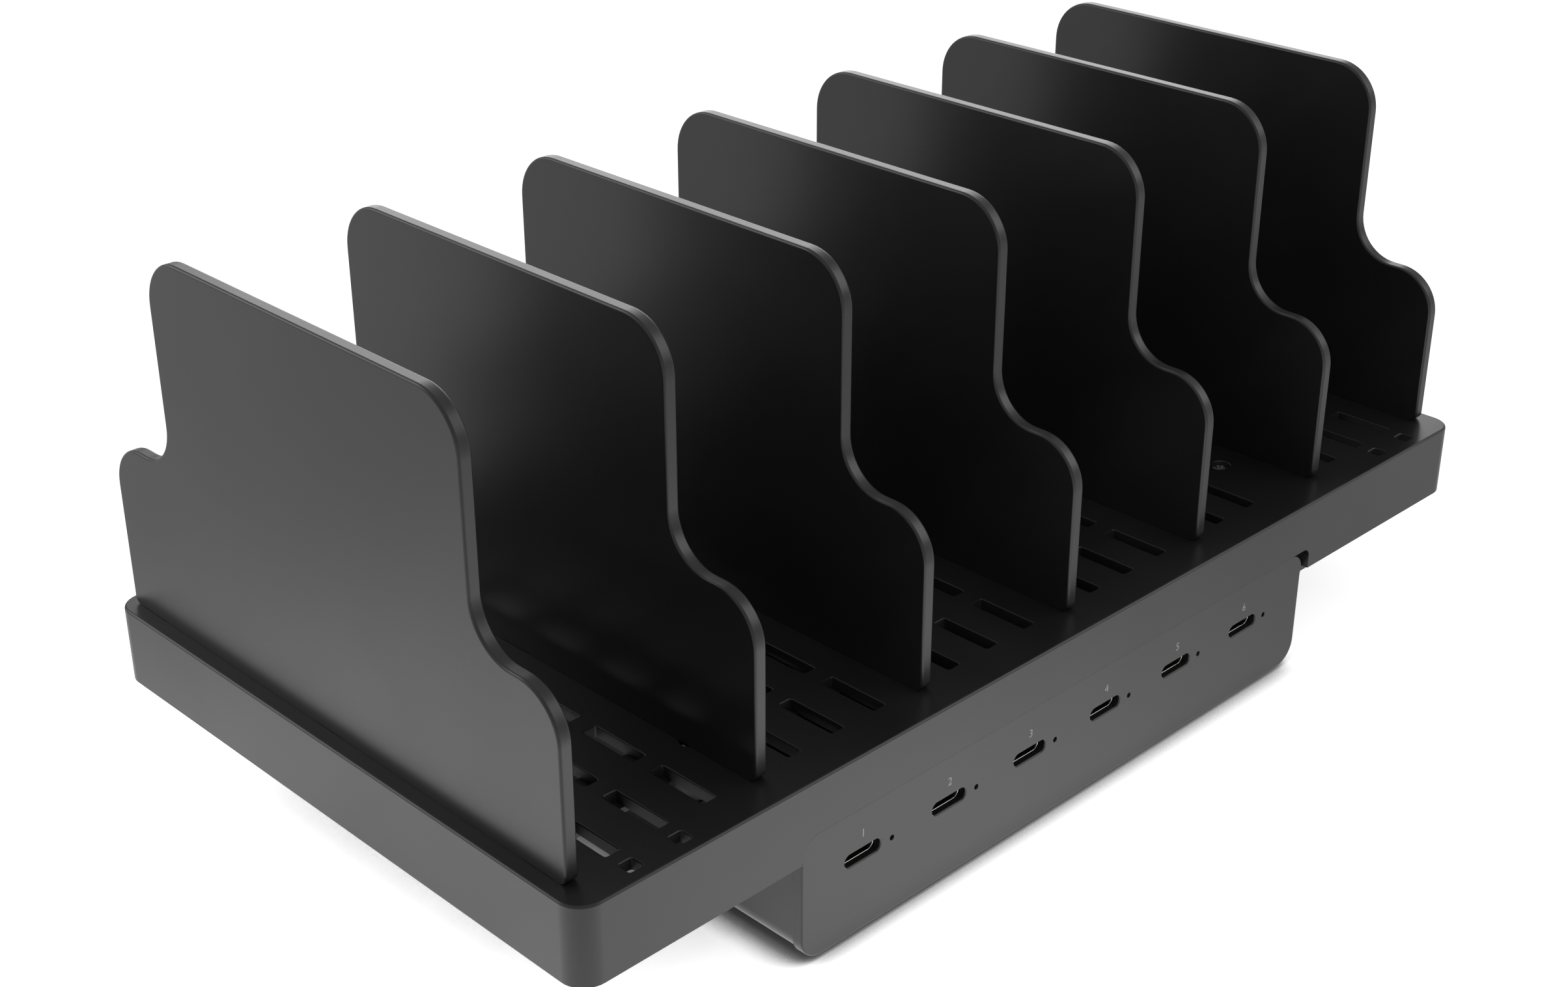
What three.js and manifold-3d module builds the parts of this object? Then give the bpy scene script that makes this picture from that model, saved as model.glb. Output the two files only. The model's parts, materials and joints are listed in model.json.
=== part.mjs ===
// USB charging station: a slotted deck with lift-out dividers, on a charger unit with a row of USB-C sockets.
// Millimetres. X runs along the front from left to right, Y from front to back, and Z is up.
// The origin is on the table, under the middle of the deck.

import * as THREE from "three";
import { mergeVertices } from "three/addons/utils/BufferGeometryUtils.js";
import Module from "manifold-3d";

const wasm = await Module();
wasm.setup();

// Dividers: stepped plates that plug into the deck with tabs
const DIVIDER_COUNT = 7;
const BAY_WIDTH = 39.1;
const DIVIDER_THICKNESS = 2.7;
const DIVIDER_DEPTH = 131;
const SHOULDER_HEIGHT = 35.2;
const UPPER_HEIGHT = 42.8;
const SHOULDER_RADIUS = 9.5;
const SHOULDER_FLAT = 2.1;
const NECK_RADIUS = 9.3;
const TOP_RADIUS = 10;
const FOOT_CORNER_RADIUS = 2;
const DIVIDER_EDGE = 0.5;
const TAB_COUNT = 3;
const TAB_LENGTH = 9;
const TAB_REACH = 7;
const TAB_INSET = 2.7;
const TAB_CLEARANCE = 0.3;
const TAB_FREE_HEIGHT = 4.1;

// Deck: a cap with a flat slotted top and an apron all round
const DECK_END_MARGIN = 3.25;
const DECK_FRONT_MARGIN = 6.5;
const DECK_REAR_MARGIN = 2.5;
const DECK_CORNER_RADIUS = 5;
const DECK_EDGE = 0.8;
const DECK_PLATE = 2.4;
const APRON_HEIGHT = 16;
const APRON_WALL = 2.4;
const SLEEVE_WALL = 1.2;
const VENT_WIDTH = 3;
const VENT_LENGTH = 13.5;
const VENT_ROW_GAP = 4.35;
const VENT_COLUMNS = 3;
const VENT_COLUMN_PITCH = 10.8;
const VENT_MARGIN = 8.7;
const SHORT_VENT_LENGTH = 3;
const SHORT_VENT_MARGIN = 0.3;
const SEAT_WEB = 1;
const STRAP_THICKNESS = 1.2;
const STRAP_INSET = 7.4;

// Charger unit: fascia, lower case, top cover and rear panel
const UNIT_OFFSET = -4.55;
const UNIT_EDGE_RADIUS = 5;
const FASCIA_TOP_RADIUS = 4;
const FASCIA_THICKNESS = 2.4;
const FASCIA_PROUD = 0.4;
const CUTOUT_SIDE_GAP = 2.6;
const CUTOUT_GAP_RADIUS = 2;
const CASE_WALL = 2.2;
const COVER_THICKNESS = 2;
const PANEL_THICKNESS = 2.2;
const REAR_CLEARANCE = 1.6;
const FIT_CLEARANCE = 0.3;
const LUG_LENGTH = 6;
const LUG_THICKNESS = 1.6;
const LUG_HEIGHT = 7;
const POST_RADIUS = 3.2;
const POST_INSET = 7;
const POST_BOARD_GAP = 4;

// Sockets and indicator lights in the fascia
const PORT_COUNT = 6;
const PORT_PITCH = 23.1;
const PORT_LEFT_MARGIN = 15.4;
const PORT_RIGHT_MARGIN = 20.6;
const PORT_HEIGHT = 16.4;
const PORT_OPENING_WIDTH = 9.2;
const PORT_OPENING_HEIGHT = 2.9;
const PORT_CHAMFER = 0.35;
const PORT_WEB = 1.4;
const SHELL_WIDTH = 8.9;
const SHELL_HEIGHT = 3.2;
const SHELL_WALL = 0.3;
const SHELL_LENGTH = 8;
const SHELL_SETBACK = 0.15;
const TONGUE_THICKNESS = 0.7;
const TONGUE_WIDTH = 6.7;
const TONGUE_SETBACK = 0.8;
const TONGUE_ROOT = 1.5;
const LED_OFFSET = 7.6;
const LED_DROP = 0.25;
const LED_HOLE = 1.1;
const LED_CLEARANCE = 0.25;
const LED_SETBACK = 0.5;
const PIPE_FOOT = 2.4;

// Boards and the parts on the power board
const BOARD_THICKNESS = 1.6;
const STANDOFF_HEIGHT = 3.4;
const STANDOFF_RADIUS = 2.5;
const STANDOFF_INSET = 5;
const PORT_BOARD_THICKNESS = 1.2;
const PORT_BOARD_DEPTH = 20;
const PORT_BOARD_GAP = 0.4;
const PORT_BOARD_LEFT = 9;
const PORT_BOARD_RIGHT = 4;
const BOARD_SPACING = 6;
const TALL_PART_HEIGHT = 16;
const HEADROOM = 0.7;
const CORE_WIDTH = 32;
const CORE_DEPTH = 14;
const CORE_LIMB = 4;
const CORE_YOKE = 2.4;
const WINDING_DEPTH = 26;
const WINDING_CLEARANCE = 0.4;
const CAPACITOR_RADIUS = 6.5;
const CAPACITOR_SPACING = 16;
const PART_SPACING = 4;
const CHOKE_RADIUS = 8.5;
const CHOKE_TUBE = 4;
const FUSE_RADIUS = 2.6;
const FUSE_LENGTH = 14;
const HEAT_SINK_BASE = 2.5;
const HEAT_SINK_LENGTH = 40;
const FIN_COUNT = 5;
const FIN_REACH = 6;
const FIN_THICKNESS = 1.5;

// Mains inlet and power switch in the rear panel
const REAR_PART_SPACING = 70;
const REAR_PART_HEIGHT = 11;
const REAR_FLANGE = 1.5;
const REAR_FLANGE_THICKNESS = 1.5;
const INLET_WIDTH = 20;
const INLET_HEIGHT = 13.5;
const INLET_DEPTH = 14;
const INLET_CAVITY_DEPTH = 12;
const INLET_LOBE_RADIUS = 4.2;
const INLET_PIN_SPACING = 8.6;
const INLET_WAIST_ANGLE = 2.35;
const INLET_PIN_RADIUS = 1.2;
const INLET_PIN_LENGTH = 9.5;
const SWITCH_WIDTH = 18;
const SWITCH_HEIGHT = 12;
const SWITCH_DEPTH = 11;
const SWITCH_WALL = 1.2;
const SWITCH_FLOOR = 4.5;
const ROCKER_END_CLEARANCE = 0.9;
const ROCKER_TILT = THREE.MathUtils.degToRad(8);
const ROCKER_PIVOT_DEPTH = 1.5;
const ROCKER_RISE = 4;
const ROCKER_DISH = 1.1;
const ROCKER_KEEL = 2.2;
const TRUNNION_RADIUS = 1;
const TRUNNION_LENGTH = 0.9;

// Feet and screws
const FOOT_PROUD = 1;
const FOOT_RADIUS = 4.5;
const FOOT_RECESS = 0.6;
const FOOT_INSET = 6.6;
const DECK_SCREW_INSET = 24.6;
const DECK_SCREW_OUTSET = 3;
const DECK_BOSS_RADIUS = 3;
const EAR_MARGIN = 3.2;
const DECK_SCREW = { head: 1.9, headHeight: 1.3, shank: 1, seat: 1.6, length: 11 };
const CASE_SCREW = { head: 2.2, headHeight: 1, shank: 1.1, seat: 1.2, length: 9 };
const SCREW_CLEARANCE = 0.3;
const SCREW_TIP_GAP = 1;
const CROSS_WIDTH = 0.6;
const CROSS_DEPTH = 0.6;
const CROSS_REACH = 0.6;

// Fineness of round stretches, and how far a cutter runs past what it cuts
const ARC_STEPS = 2;
const OUTLINE_ARC_STEPS = 3;
const ROUND_SIDES = 12;
const SMALL_SIDES = 8;
const PAST = 1;
const WELD_DISTANCE = 1e-4;

// Sizes and levels that follow from the values above
const DIVIDER_PITCH = BAY_WIDTH + DIVIDER_THICKNESS;
const DIVIDER_HEIGHT = SHOULDER_HEIGHT + UPPER_HEIGHT;
const DIVIDER_STEP = SHOULDER_RADIUS + SHOULDER_FLAT + NECK_RADIUS;
const DECK_LENGTH = (DIVIDER_COUNT - 1) * DIVIDER_PITCH + DIVIDER_THICKNESS + 2 * DECK_END_MARGIN;
const DECK_DEPTH = DECK_FRONT_MARGIN + DIVIDER_DEPTH + DECK_REAR_MARGIN;
const FRONT = -DECK_DEPTH / 2;
const REAR = DECK_DEPTH / 2;
const DIVIDER_CENTRE_Y = FRONT + DECK_FRONT_MARGIN + DIVIDER_DEPTH / 2;
const UNIT_WIDTH = PORT_LEFT_MARGIN + (PORT_COUNT - 1) * PORT_PITCH + PORT_RIGHT_MARGIN;
const CASE_HALF = UNIT_WIDTH / 2 - FASCIA_PROUD;
const CASE_INNER_HALF = CASE_HALF - CASE_WALL;
const CASE_RADIUS = UNIT_EDGE_RADIUS - FASCIA_PROUD;
const CASE_INNER_RADIUS = Math.max(CASE_RADIUS - CASE_WALL, CASE_WALL / 4);
const FASCIA_BACK = FRONT + FASCIA_THICKNESS;
const UNIT_REAR = REAR - APRON_WALL - REAR_CLEARANCE;
const PANEL_FRONT = UNIT_REAR - PANEL_THICKNESS;
const UNIT_BOTTOM = FOOT_PROUD;
const CASE_BOTTOM = UNIT_BOTTOM + FASCIA_PROUD;
const FLOOR_TOP = CASE_BOTTOM + CASE_WALL;
const BOARD_BOTTOM = FLOOR_TOP + STANDOFF_HEIGHT;
const BOARD_TOP = BOARD_BOTTOM + BOARD_THICKNESS;
const COVER_BOTTOM = BOARD_TOP + TALL_PART_HEIGHT + HEADROOM;
const UNIT_TOP = COVER_BOTTOM + COVER_THICKNESS;
const DECK_TOP = UNIT_TOP + TAB_FREE_HEIGHT + TAB_REACH;
const DECK_UNDERSIDE = DECK_TOP - DECK_PLATE;
const APRON_BOTTOM = DECK_TOP - APRON_HEIGHT;
const SLEEVE_BOTTOM = DECK_TOP - TAB_REACH;
const PORT_Z = UNIT_BOTTOM + PORT_HEIGHT;
const SHELL_FRONT = FRONT + PORT_WEB + SHELL_SETBACK;
const LED_Z = PORT_Z - LED_DROP;
const FIRST_PORT_X = -UNIT_WIDTH / 2 + PORT_LEFT_MARGIN;
const LAST_PORT_X = FIRST_PORT_X + (PORT_COUNT - 1) * PORT_PITCH;
const PORT_BOARD_TOP = PORT_Z - SHELL_HEIGHT / 2;
const PORT_BOARD_BOTTOM = PORT_BOARD_TOP - PORT_BOARD_THICKNESS;
const PORT_BOARD_FRONT = FASCIA_BACK + PORT_BOARD_GAP;
const PORT_BOARD_BACK = PORT_BOARD_FRONT + PORT_BOARD_DEPTH;
const POST_X = CASE_INNER_HALF - POST_INSET;
const POST_YS = [PORT_BOARD_BACK + POST_BOARD_GAP + POST_RADIUS, UNIT_REAR - INLET_DEPTH - BOARD_SPACING];
const POWER_BOARD_HALF = POST_X - POST_RADIUS - PART_SPACING / 2;
const POWER_BOARD_FRONT = PORT_BOARD_BACK + BOARD_SPACING;
const POWER_BOARD_BACK = UNIT_REAR - INLET_DEPTH - BOARD_SPACING;
const POWER_BOARD_CENTRE = (POWER_BOARD_FRONT + POWER_BOARD_BACK) / 2;
const REAR_PART_Z = UNIT_BOTTOM + REAR_PART_HEIGHT;
const FOOT_YS = [FASCIA_BACK + FOOT_INSET, PANEL_FRONT - FOOT_INSET];
const DECK_SCREW_X = UNIT_WIDTH / 2 + DECK_SCREW_OUTSET;
const DECK_SCREW_YS = [FRONT + DECK_SCREW_INSET, REAR - DECK_SCREW_INSET];

const materials = {
  charcoalPlastic: new THREE.MeshStandardMaterial({ color: 0x3c3c3e, roughness: 0.5, metalness: 0 }),
  blackPlastic: new THREE.MeshStandardMaterial({ color: 0x17171a, roughness: 0.4, metalness: 0 }),
  plating: new THREE.MeshStandardMaterial({ color: 0xc9c9c6, roughness: 0.25, metalness: 1 }),
  clearPlastic: new THREE.MeshStandardMaterial({ color: 0xe4e8e6, roughness: 0.2, metalness: 0 }),
  board: new THREE.MeshStandardMaterial({ color: 0x1f5a3a, roughness: 0.55, metalness: 0 }),
  ferrite: new THREE.MeshStandardMaterial({ color: 0x2b2b2d, roughness: 0.8, metalness: 0 }),
  windingTape: new THREE.MeshStandardMaterial({ color: 0xd9b43a, roughness: 0.5, metalness: 0 }),
  aluminium: new THREE.MeshStandardMaterial({ color: 0xb4b6b8, roughness: 0.4, metalness: 1 }),
  rubber: new THREE.MeshStandardMaterial({ color: 0x202020, roughness: 0.9, metalness: 0 }),
};

// A solid for joining and cutting, from a closed geometry.
function solid(geometry) {
  const bare = geometry.index ? geometry.toNonIndexed() : geometry.clone();
  bare.deleteAttribute("normal");
  bare.deleteAttribute("uv");
  const merged = mergeVertices(bare, WELD_DISTANCE);
  const vertProperties = merged.attributes.position.array;
  const triVerts = new Uint32Array(merged.index.array);
  return new wasm.Manifold(new wasm.Mesh({ numProp: 3, vertProperties, triVerts }));
}

// A flat-shaded geometry from a finished solid.
function geometryOf(body) {
  const mesh = body.getMesh();
  const geometry = new THREE.BufferGeometry();
  geometry.setAttribute("position", new THREE.BufferAttribute(mesh.vertProperties, 3));
  geometry.setIndex(new THREE.BufferAttribute(mesh.triVerts, 1));
  const flat = geometry.toNonIndexed();
  flat.computeVertexNormals();
  return flat;
}

// One body from overlapping geometries, less what the cutting geometries take away.
function carve(added, removed = []) {
  const body = added.map(solid).reduce((sum, item) => sum.add(item));
  return geometryOf(removed.map(solid).reduce((rest, item) => rest.subtract(item), body));
}

function box(left, right, front, back, bottom, top) {
  const geometry = new THREE.BoxGeometry(right - left, back - front, top - bottom);
  return geometry.translate((left + right) / 2, (front + back) / 2, (bottom + top) / 2);
}

function cylinderZ(radius, x, y, bottom, top, sides = ROUND_SIDES) {
  const geometry = new THREE.CylinderGeometry(radius, radius, top - bottom, sides);
  return geometry.rotateX(Math.PI / 2).translate(x, y, (bottom + top) / 2);
}

function cylinderY(radius, x, z, front, back, sides = ROUND_SIDES) {
  const geometry = new THREE.CylinderGeometry(radius, radius, back - front, sides);
  return geometry.translate(x, (front + back) / 2, z);
}

function extrude(shape, depth) {
  return new THREE.ExtrudeGeometry(shape, { depth, bevelEnabled: false, curveSegments: ARC_STEPS });
}

// The outline keeps its size in the middle of the depth and draws in by the edge at both ends.
function chamferedExtrude(shape, depth, edge, curveSegments) {
  return new THREE.ExtrudeGeometry(shape, {
    depth: depth - 2 * edge,
    bevelEnabled: true,
    bevelThickness: edge,
    bevelSize: edge,
    bevelOffset: -edge,
    bevelSegments: 1,
    curveSegments,
  }).translate(0, 0, edge);
}

// An outline drawn in X and Y, stood up from one level to another.
function prismZ(shape, bottom, top) {
  return extrude(shape, top - bottom).translate(0, 0, bottom);
}

// An outline drawn in X and Z, run from front to back.
function prismY(shape, front, back) {
  return extrude(shape, back - front).rotateX(Math.PI / 2).translate(0, back, 0);
}

// A geometry whose outline is drawn in X and Y becomes one drawn in Y and Z, extruded along X.
function turnToYZ(geometry) {
  const turn = new THREE.Matrix4().makeBasis(
    new THREE.Vector3(0, 1, 0),
    new THREE.Vector3(0, 0, 1),
    new THREE.Vector3(1, 0, 0),
  );
  return geometry.applyMatrix4(turn);
}

// A rectangle with its own radius at the lower and the upper corners, where 0 is a square corner.
function roundedRectangle(left, right, bottom, top, lowRadius, highRadius) {
  const shape = new THREE.Shape();
  shape.moveTo(left + lowRadius, bottom);
  shape.lineTo(right - lowRadius, bottom);
  if (lowRadius > 0) shape.absarc(right - lowRadius, bottom + lowRadius, lowRadius, -Math.PI / 2, 0);
  shape.lineTo(right, top - highRadius);
  if (highRadius > 0) shape.absarc(right - highRadius, top - highRadius, highRadius, 0, Math.PI / 2);
  shape.lineTo(left + highRadius, top);
  if (highRadius > 0) shape.absarc(left + highRadius, top - highRadius, highRadius, Math.PI / 2, Math.PI);
  shape.lineTo(left, bottom + lowRadius);
  if (lowRadius > 0) shape.absarc(left + lowRadius, bottom + lowRadius, lowRadius, Math.PI, 1.5 * Math.PI);
  return shape;
}

// A slot outline with half-round ends, as a socket has.
function socketOutline(width, height) {
  return roundedRectangle(-width / 2, width / 2, -height / 2, height / 2, height / 2, height / 2);
}

function tabCentres() {
  const first = -DIVIDER_DEPTH / 2 + TAB_INSET + TAB_LENGTH / 2;
  const step = (-2 * first) / (TAB_COUNT - 1);
  return Array.from({ length: TAB_COUNT }, (_, index) => first + index * step);
}

function dividerCentres() {
  const first = -((DIVIDER_COUNT - 1) * DIVIDER_PITCH) / 2;
  return Array.from({ length: DIVIDER_COUNT }, (_, index) => first + index * DIVIDER_PITCH);
}

// Divider outline in Y and Z from the deck's top: tabs below, and at each end a foot, shoulder, neck and top.
function dividerOutline() {
  const half = DIVIDER_DEPTH / 2;
  const upperHalf = half - DIVIDER_STEP;
  const shoulderStart = SHOULDER_HEIGHT - SHOULDER_RADIUS;
  const neckBottom = SHOULDER_HEIGHT + NECK_RADIUS;
  const topStart = DIVIDER_HEIGHT - TOP_RADIUS;
  const shape = new THREE.Shape();
  shape.moveTo(-half + FOOT_CORNER_RADIUS, 0);
  for (const centre of tabCentres()) {
    shape.lineTo(centre - TAB_LENGTH / 2, 0);
    shape.lineTo(centre - TAB_LENGTH / 2, -TAB_REACH);
    shape.lineTo(centre + TAB_LENGTH / 2, -TAB_REACH);
    shape.lineTo(centre + TAB_LENGTH / 2, 0);
  }
  shape.lineTo(half - FOOT_CORNER_RADIUS, 0);
  shape.absarc(half - FOOT_CORNER_RADIUS, FOOT_CORNER_RADIUS, FOOT_CORNER_RADIUS, -Math.PI / 2, 0);
  shape.lineTo(half, shoulderStart);
  shape.absarc(half - SHOULDER_RADIUS, shoulderStart, SHOULDER_RADIUS, 0, Math.PI / 2);
  shape.lineTo(upperHalf + NECK_RADIUS, SHOULDER_HEIGHT);
  shape.absarc(upperHalf + NECK_RADIUS, neckBottom, NECK_RADIUS, -Math.PI / 2, -Math.PI, true);
  shape.lineTo(upperHalf, topStart);
  shape.absarc(upperHalf - TOP_RADIUS, topStart, TOP_RADIUS, 0, Math.PI / 2);
  shape.lineTo(-upperHalf + TOP_RADIUS, DIVIDER_HEIGHT);
  shape.absarc(-upperHalf + TOP_RADIUS, topStart, TOP_RADIUS, Math.PI / 2, Math.PI);
  shape.lineTo(-upperHalf, neckBottom);
  shape.absarc(-upperHalf - NECK_RADIUS, neckBottom, NECK_RADIUS, 0, -Math.PI / 2, true);
  shape.lineTo(-half + SHOULDER_RADIUS, SHOULDER_HEIGHT);
  shape.absarc(-half + SHOULDER_RADIUS, shoulderStart, SHOULDER_RADIUS, Math.PI / 2, Math.PI);
  shape.lineTo(-half, FOOT_CORNER_RADIUS);
  shape.absarc(-half + FOOT_CORNER_RADIUS, FOOT_CORNER_RADIUS, FOOT_CORNER_RADIUS, Math.PI, 1.5 * Math.PI);
  return shape;
}

function dividerGeometry() {
  const plate = chamferedExtrude(dividerOutline(), DIVIDER_THICKNESS, DIVIDER_EDGE, OUTLINE_ARC_STEPS);
  return turnToYZ(plate).translate(-DIVIDER_THICKNESS / 2, 0, 0);
}

// The fascia's outline, which the cut-out in the deck's apron shares.
function fasciaOutline() {
  const half = UNIT_WIDTH / 2;
  return roundedRectangle(-half, half, UNIT_BOTTOM, UNIT_TOP, UNIT_EDGE_RADIUS, FASCIA_TOP_RADIUS);
}

function deckScrewPlaces() {
  return DECK_SCREW_YS.flatMap((y) => [-DECK_SCREW_X, DECK_SCREW_X].map((x) => ({ x, y })));
}

// Vent slots of one bay: rows of long slots, less any that would come within a web of a deck screw's seat.
function bayVents(bayCentre) {
  const rowPitch = VENT_LENGTH + VENT_ROW_GAP;
  const rows = Math.floor((DECK_DEPTH - 2 * VENT_MARGIN + VENT_ROW_GAP) / rowPitch);
  const reach = DECK_SCREW.head + SCREW_CLEARANCE + SEAT_WEB;
  const vents = [];
  for (let column = 0; column < VENT_COLUMNS; column += 1) {
    const x = bayCentre + (column - (VENT_COLUMNS - 1) / 2) * VENT_COLUMN_PITCH;
    for (let row = 0; row < rows; row += 1) {
      const front = FRONT + VENT_MARGIN + row * rowPitch;
      const meetsScrew = deckScrewPlaces().some((place) => {
        const besideX = Math.abs(place.x + UNIT_OFFSET - x) < VENT_WIDTH / 2 + reach;
        return besideX && place.y > front - reach && place.y < front + VENT_LENGTH + reach;
      });
      if (!meetsScrew) vents.push(ventCutter(x, front, VENT_LENGTH));
    }
  }
  return vents;
}

function ventCutter(x, front, length) {
  const half = VENT_WIDTH / 2;
  return box(x - half, x + half, front, front + length, SLEEVE_BOTTOM - PAST, DECK_TOP + PAST);
}

// The end bays also have a short vent at the front in the middle column and in the one nearer the end.
function shortVents(bayCentre, outward) {
  const front = FRONT + APRON_WALL + SHORT_VENT_MARGIN;
  const columns = [bayCentre, bayCentre + outward * VENT_COLUMN_PITCH];
  return columns.map((x) => ventCutter(x, front, SHORT_VENT_LENGTH));
}

function deckGeometry() {
  const halfLength = DECK_LENGTH / 2;
  const innerHalf = halfLength - APRON_WALL;
  const radius = DECK_CORNER_RADIUS;
  const innerRadius = radius - APRON_WALL;
  const outline = roundedRectangle(-halfLength, halfLength, FRONT, REAR, radius, radius);
  const hollow = roundedRectangle(
    -innerHalf,
    innerHalf,
    FRONT + APRON_WALL,
    REAR - APRON_WALL,
    innerRadius,
    innerRadius,
  );
  const capBottom = APRON_BOTTOM - DECK_EDGE;
  const block = chamferedExtrude(outline, DECK_TOP - capBottom, DECK_EDGE, OUTLINE_ARC_STEPS);
  const cap = block.translate(0, 0, capBottom);
  const belowApron = box(-DECK_LENGTH, DECK_LENGTH, -DECK_DEPTH, DECK_DEPTH, capBottom - PAST, APRON_BOTTOM);
  const shell = carve([cap], [belowApron, prismZ(hollow, capBottom - PAST, DECK_UNDERSIDE)]);

  const centres = dividerCentres();
  const slotHalfX = DIVIDER_THICKNESS / 2 + TAB_CLEARANCE;
  const slotHalfY = TAB_LENGTH / 2 + TAB_CLEARANCE;
  const sleeves = [];
  const slots = [];
  for (const x of centres) {
    for (const offset of tabCentres()) {
      const y = DIVIDER_CENTRE_Y + offset;
      const outX = slotHalfX + SLEEVE_WALL;
      const outY = slotHalfY + SLEEVE_WALL;
      const root = DECK_UNDERSIDE + DECK_PLATE / 2;
      const sleeveFront = Math.max(y - outY, FRONT + APRON_WALL / 2);
      const sleeveBack = Math.min(y + outY, REAR - APRON_WALL / 2);
      const sleeveLeft = Math.max(x - outX, -halfLength + APRON_WALL / 2);
      const sleeveRight = Math.min(x + outX, halfLength - APRON_WALL / 2);
      sleeves.push(box(sleeveLeft, sleeveRight, sleeveFront, sleeveBack, SLEEVE_BOTTOM, root));
      const bottom = SLEEVE_BOTTOM - PAST;
      slots.push(box(x - slotHalfX, x + slotHalfX, y - slotHalfY, y + slotHalfY, bottom, DECK_TOP + PAST));
    }
  }

  const bosses = [];
  const screwHoles = [];
  for (const place of deckScrewPlaces()) {
    const x = place.x + UNIT_OFFSET;
    const seat = DECK_TOP - DECK_SCREW.seat;
    bosses.push(cylinderZ(DECK_BOSS_RADIUS, x, place.y, UNIT_TOP, DECK_UNDERSIDE + DECK_PLATE / 4));
    screwHoles.push(cylinderZ(DECK_SCREW.head + SCREW_CLEARANCE, x, place.y, seat, DECK_TOP + PAST));
    const hole = DECK_SCREW.shank + SCREW_CLEARANCE;
    screwHoles.push(cylinderZ(hole, x, place.y, UNIT_TOP - PAST, seat + PAST, SMALL_SIDES));
  }

  const vents = [];
  for (let bay = 0; bay + 1 < DIVIDER_COUNT; bay += 1) {
    vents.push(...bayVents(centres[bay] + DIVIDER_PITCH / 2));
  }
  vents.push(...shortVents(centres[0] + DIVIDER_PITCH / 2, -1));
  vents.push(...shortVents(centres[DIVIDER_COUNT - 1] - DIVIDER_PITCH / 2, 1));

  const cutterFront = FRONT - PAST;
  const cutterBack = FRONT + APRON_WALL + PAST;
  const unitRight = UNIT_WIDTH / 2;
  const gapLeft = unitRight - FASCIA_TOP_RADIUS - CUTOUT_GAP_RADIUS;
  const gapRight = unitRight + CUTOUT_SIDE_GAP;
  const gapOutline = roundedRectangle(gapLeft, gapRight, UNIT_BOTTOM, UNIT_TOP, 0, CUTOUT_GAP_RADIUS);
  const cutouts = [fasciaOutline(), gapOutline].map((shape) => {
    return prismY(shape, cutterFront, cutterBack).translate(UNIT_OFFSET, 0, 0);
  });
  return carve([shell, ...sleeves, ...bosses], [...slots, ...screwHoles, ...vents, ...cutouts]);
}

// A stiffening strap across the deck's underside at one row of deck screws, clear of the sleeves and bosses.
function strapGeometry(screwY) {
  const side = Math.sign(screwY);
  const half = DECK_LENGTH / 2 - APRON_WALL - FIT_CLEARANCE;
  const sleeveBack = tabCentres()[0] + DIVIDER_CENTRE_Y + TAB_LENGTH / 2 + TAB_CLEARANCE + SLEEVE_WALL;
  const outer = side * Math.abs(sleeveBack + FIT_CLEARANCE);
  const inner = screwY - side * STRAP_INSET;
  const bottom = DECK_UNDERSIDE - STRAP_THICKNESS;
  const holes = [-DECK_SCREW_X, DECK_SCREW_X].map((x) => {
    const radius = DECK_BOSS_RADIUS + FIT_CLEARANCE;
    return cylinderZ(radius, x + UNIT_OFFSET, screwY, bottom - PAST, DECK_UNDERSIDE + PAST);
  });
  const plate = box(-half, half, Math.min(inner, outer), Math.max(inner, outer), bottom, DECK_UNDERSIDE);
  return carve([plate], holes);
}

// Two lugs behind a panel that locate it between the case's side walls.
function sideLugs(front, back) {
  const outer = CASE_INNER_HALF - FIT_CLEARANCE;
  const inner = outer - LUG_THICKNESS;
  const bottom = FLOOR_TOP + CASE_INNER_RADIUS + FIT_CLEARANCE;
  const top = bottom + LUG_HEIGHT;
  return [box(-outer, -inner, front, back, bottom, top), box(inner, outer, front, back, bottom, top)];
}

function portPlaces() {
  return Array.from({ length: PORT_COUNT }, (_, index) => FIRST_PORT_X + index * PORT_PITCH);
}

// The cutters of one socket opening: a slot with a chamfered mouth, and a pocket for the shell behind a web.
function portCutters(x) {
  const outline = socketOutline(PORT_OPENING_WIDTH, PORT_OPENING_HEIGHT);
  const mouth = socketOutline(PORT_OPENING_WIDTH + 2 * PORT_CHAMFER, PORT_OPENING_HEIGHT + 2 * PORT_CHAMFER);
  const straight = prismY(outline, FRONT - PAST, FASCIA_BACK + PAST);
  const flare = chamferedExtrude(mouth, 2 * PORT_CHAMFER, PORT_CHAMFER, ARC_STEPS).rotateX(Math.PI / 2);
  flare.translate(0, FRONT + PORT_CHAMFER, 0);
  const room = socketOutline(SHELL_WIDTH + 2 * FIT_CLEARANCE, SHELL_HEIGHT + 2 * FIT_CLEARANCE);
  const pocket = prismY(room, FRONT + PORT_WEB, FASCIA_BACK + PAST);
  return [straight, flare, pocket].map((item) => item.translate(x, 0, PORT_Z));
}

function fasciaGeometry() {
  const cutters = portPlaces().flatMap((x) => {
    const led = cylinderY(LED_HOLE / 2, x + LED_OFFSET, LED_Z, FRONT - PAST, FASCIA_BACK + PAST, SMALL_SIDES);
    return [...portCutters(x), led];
  });
  const lugs = sideLugs(FASCIA_BACK - FASCIA_THICKNESS / 2, FASCIA_BACK + LUG_LENGTH);
  return carve([prismY(fasciaOutline(), FRONT, FASCIA_BACK), ...lugs], cutters);
}

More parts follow.
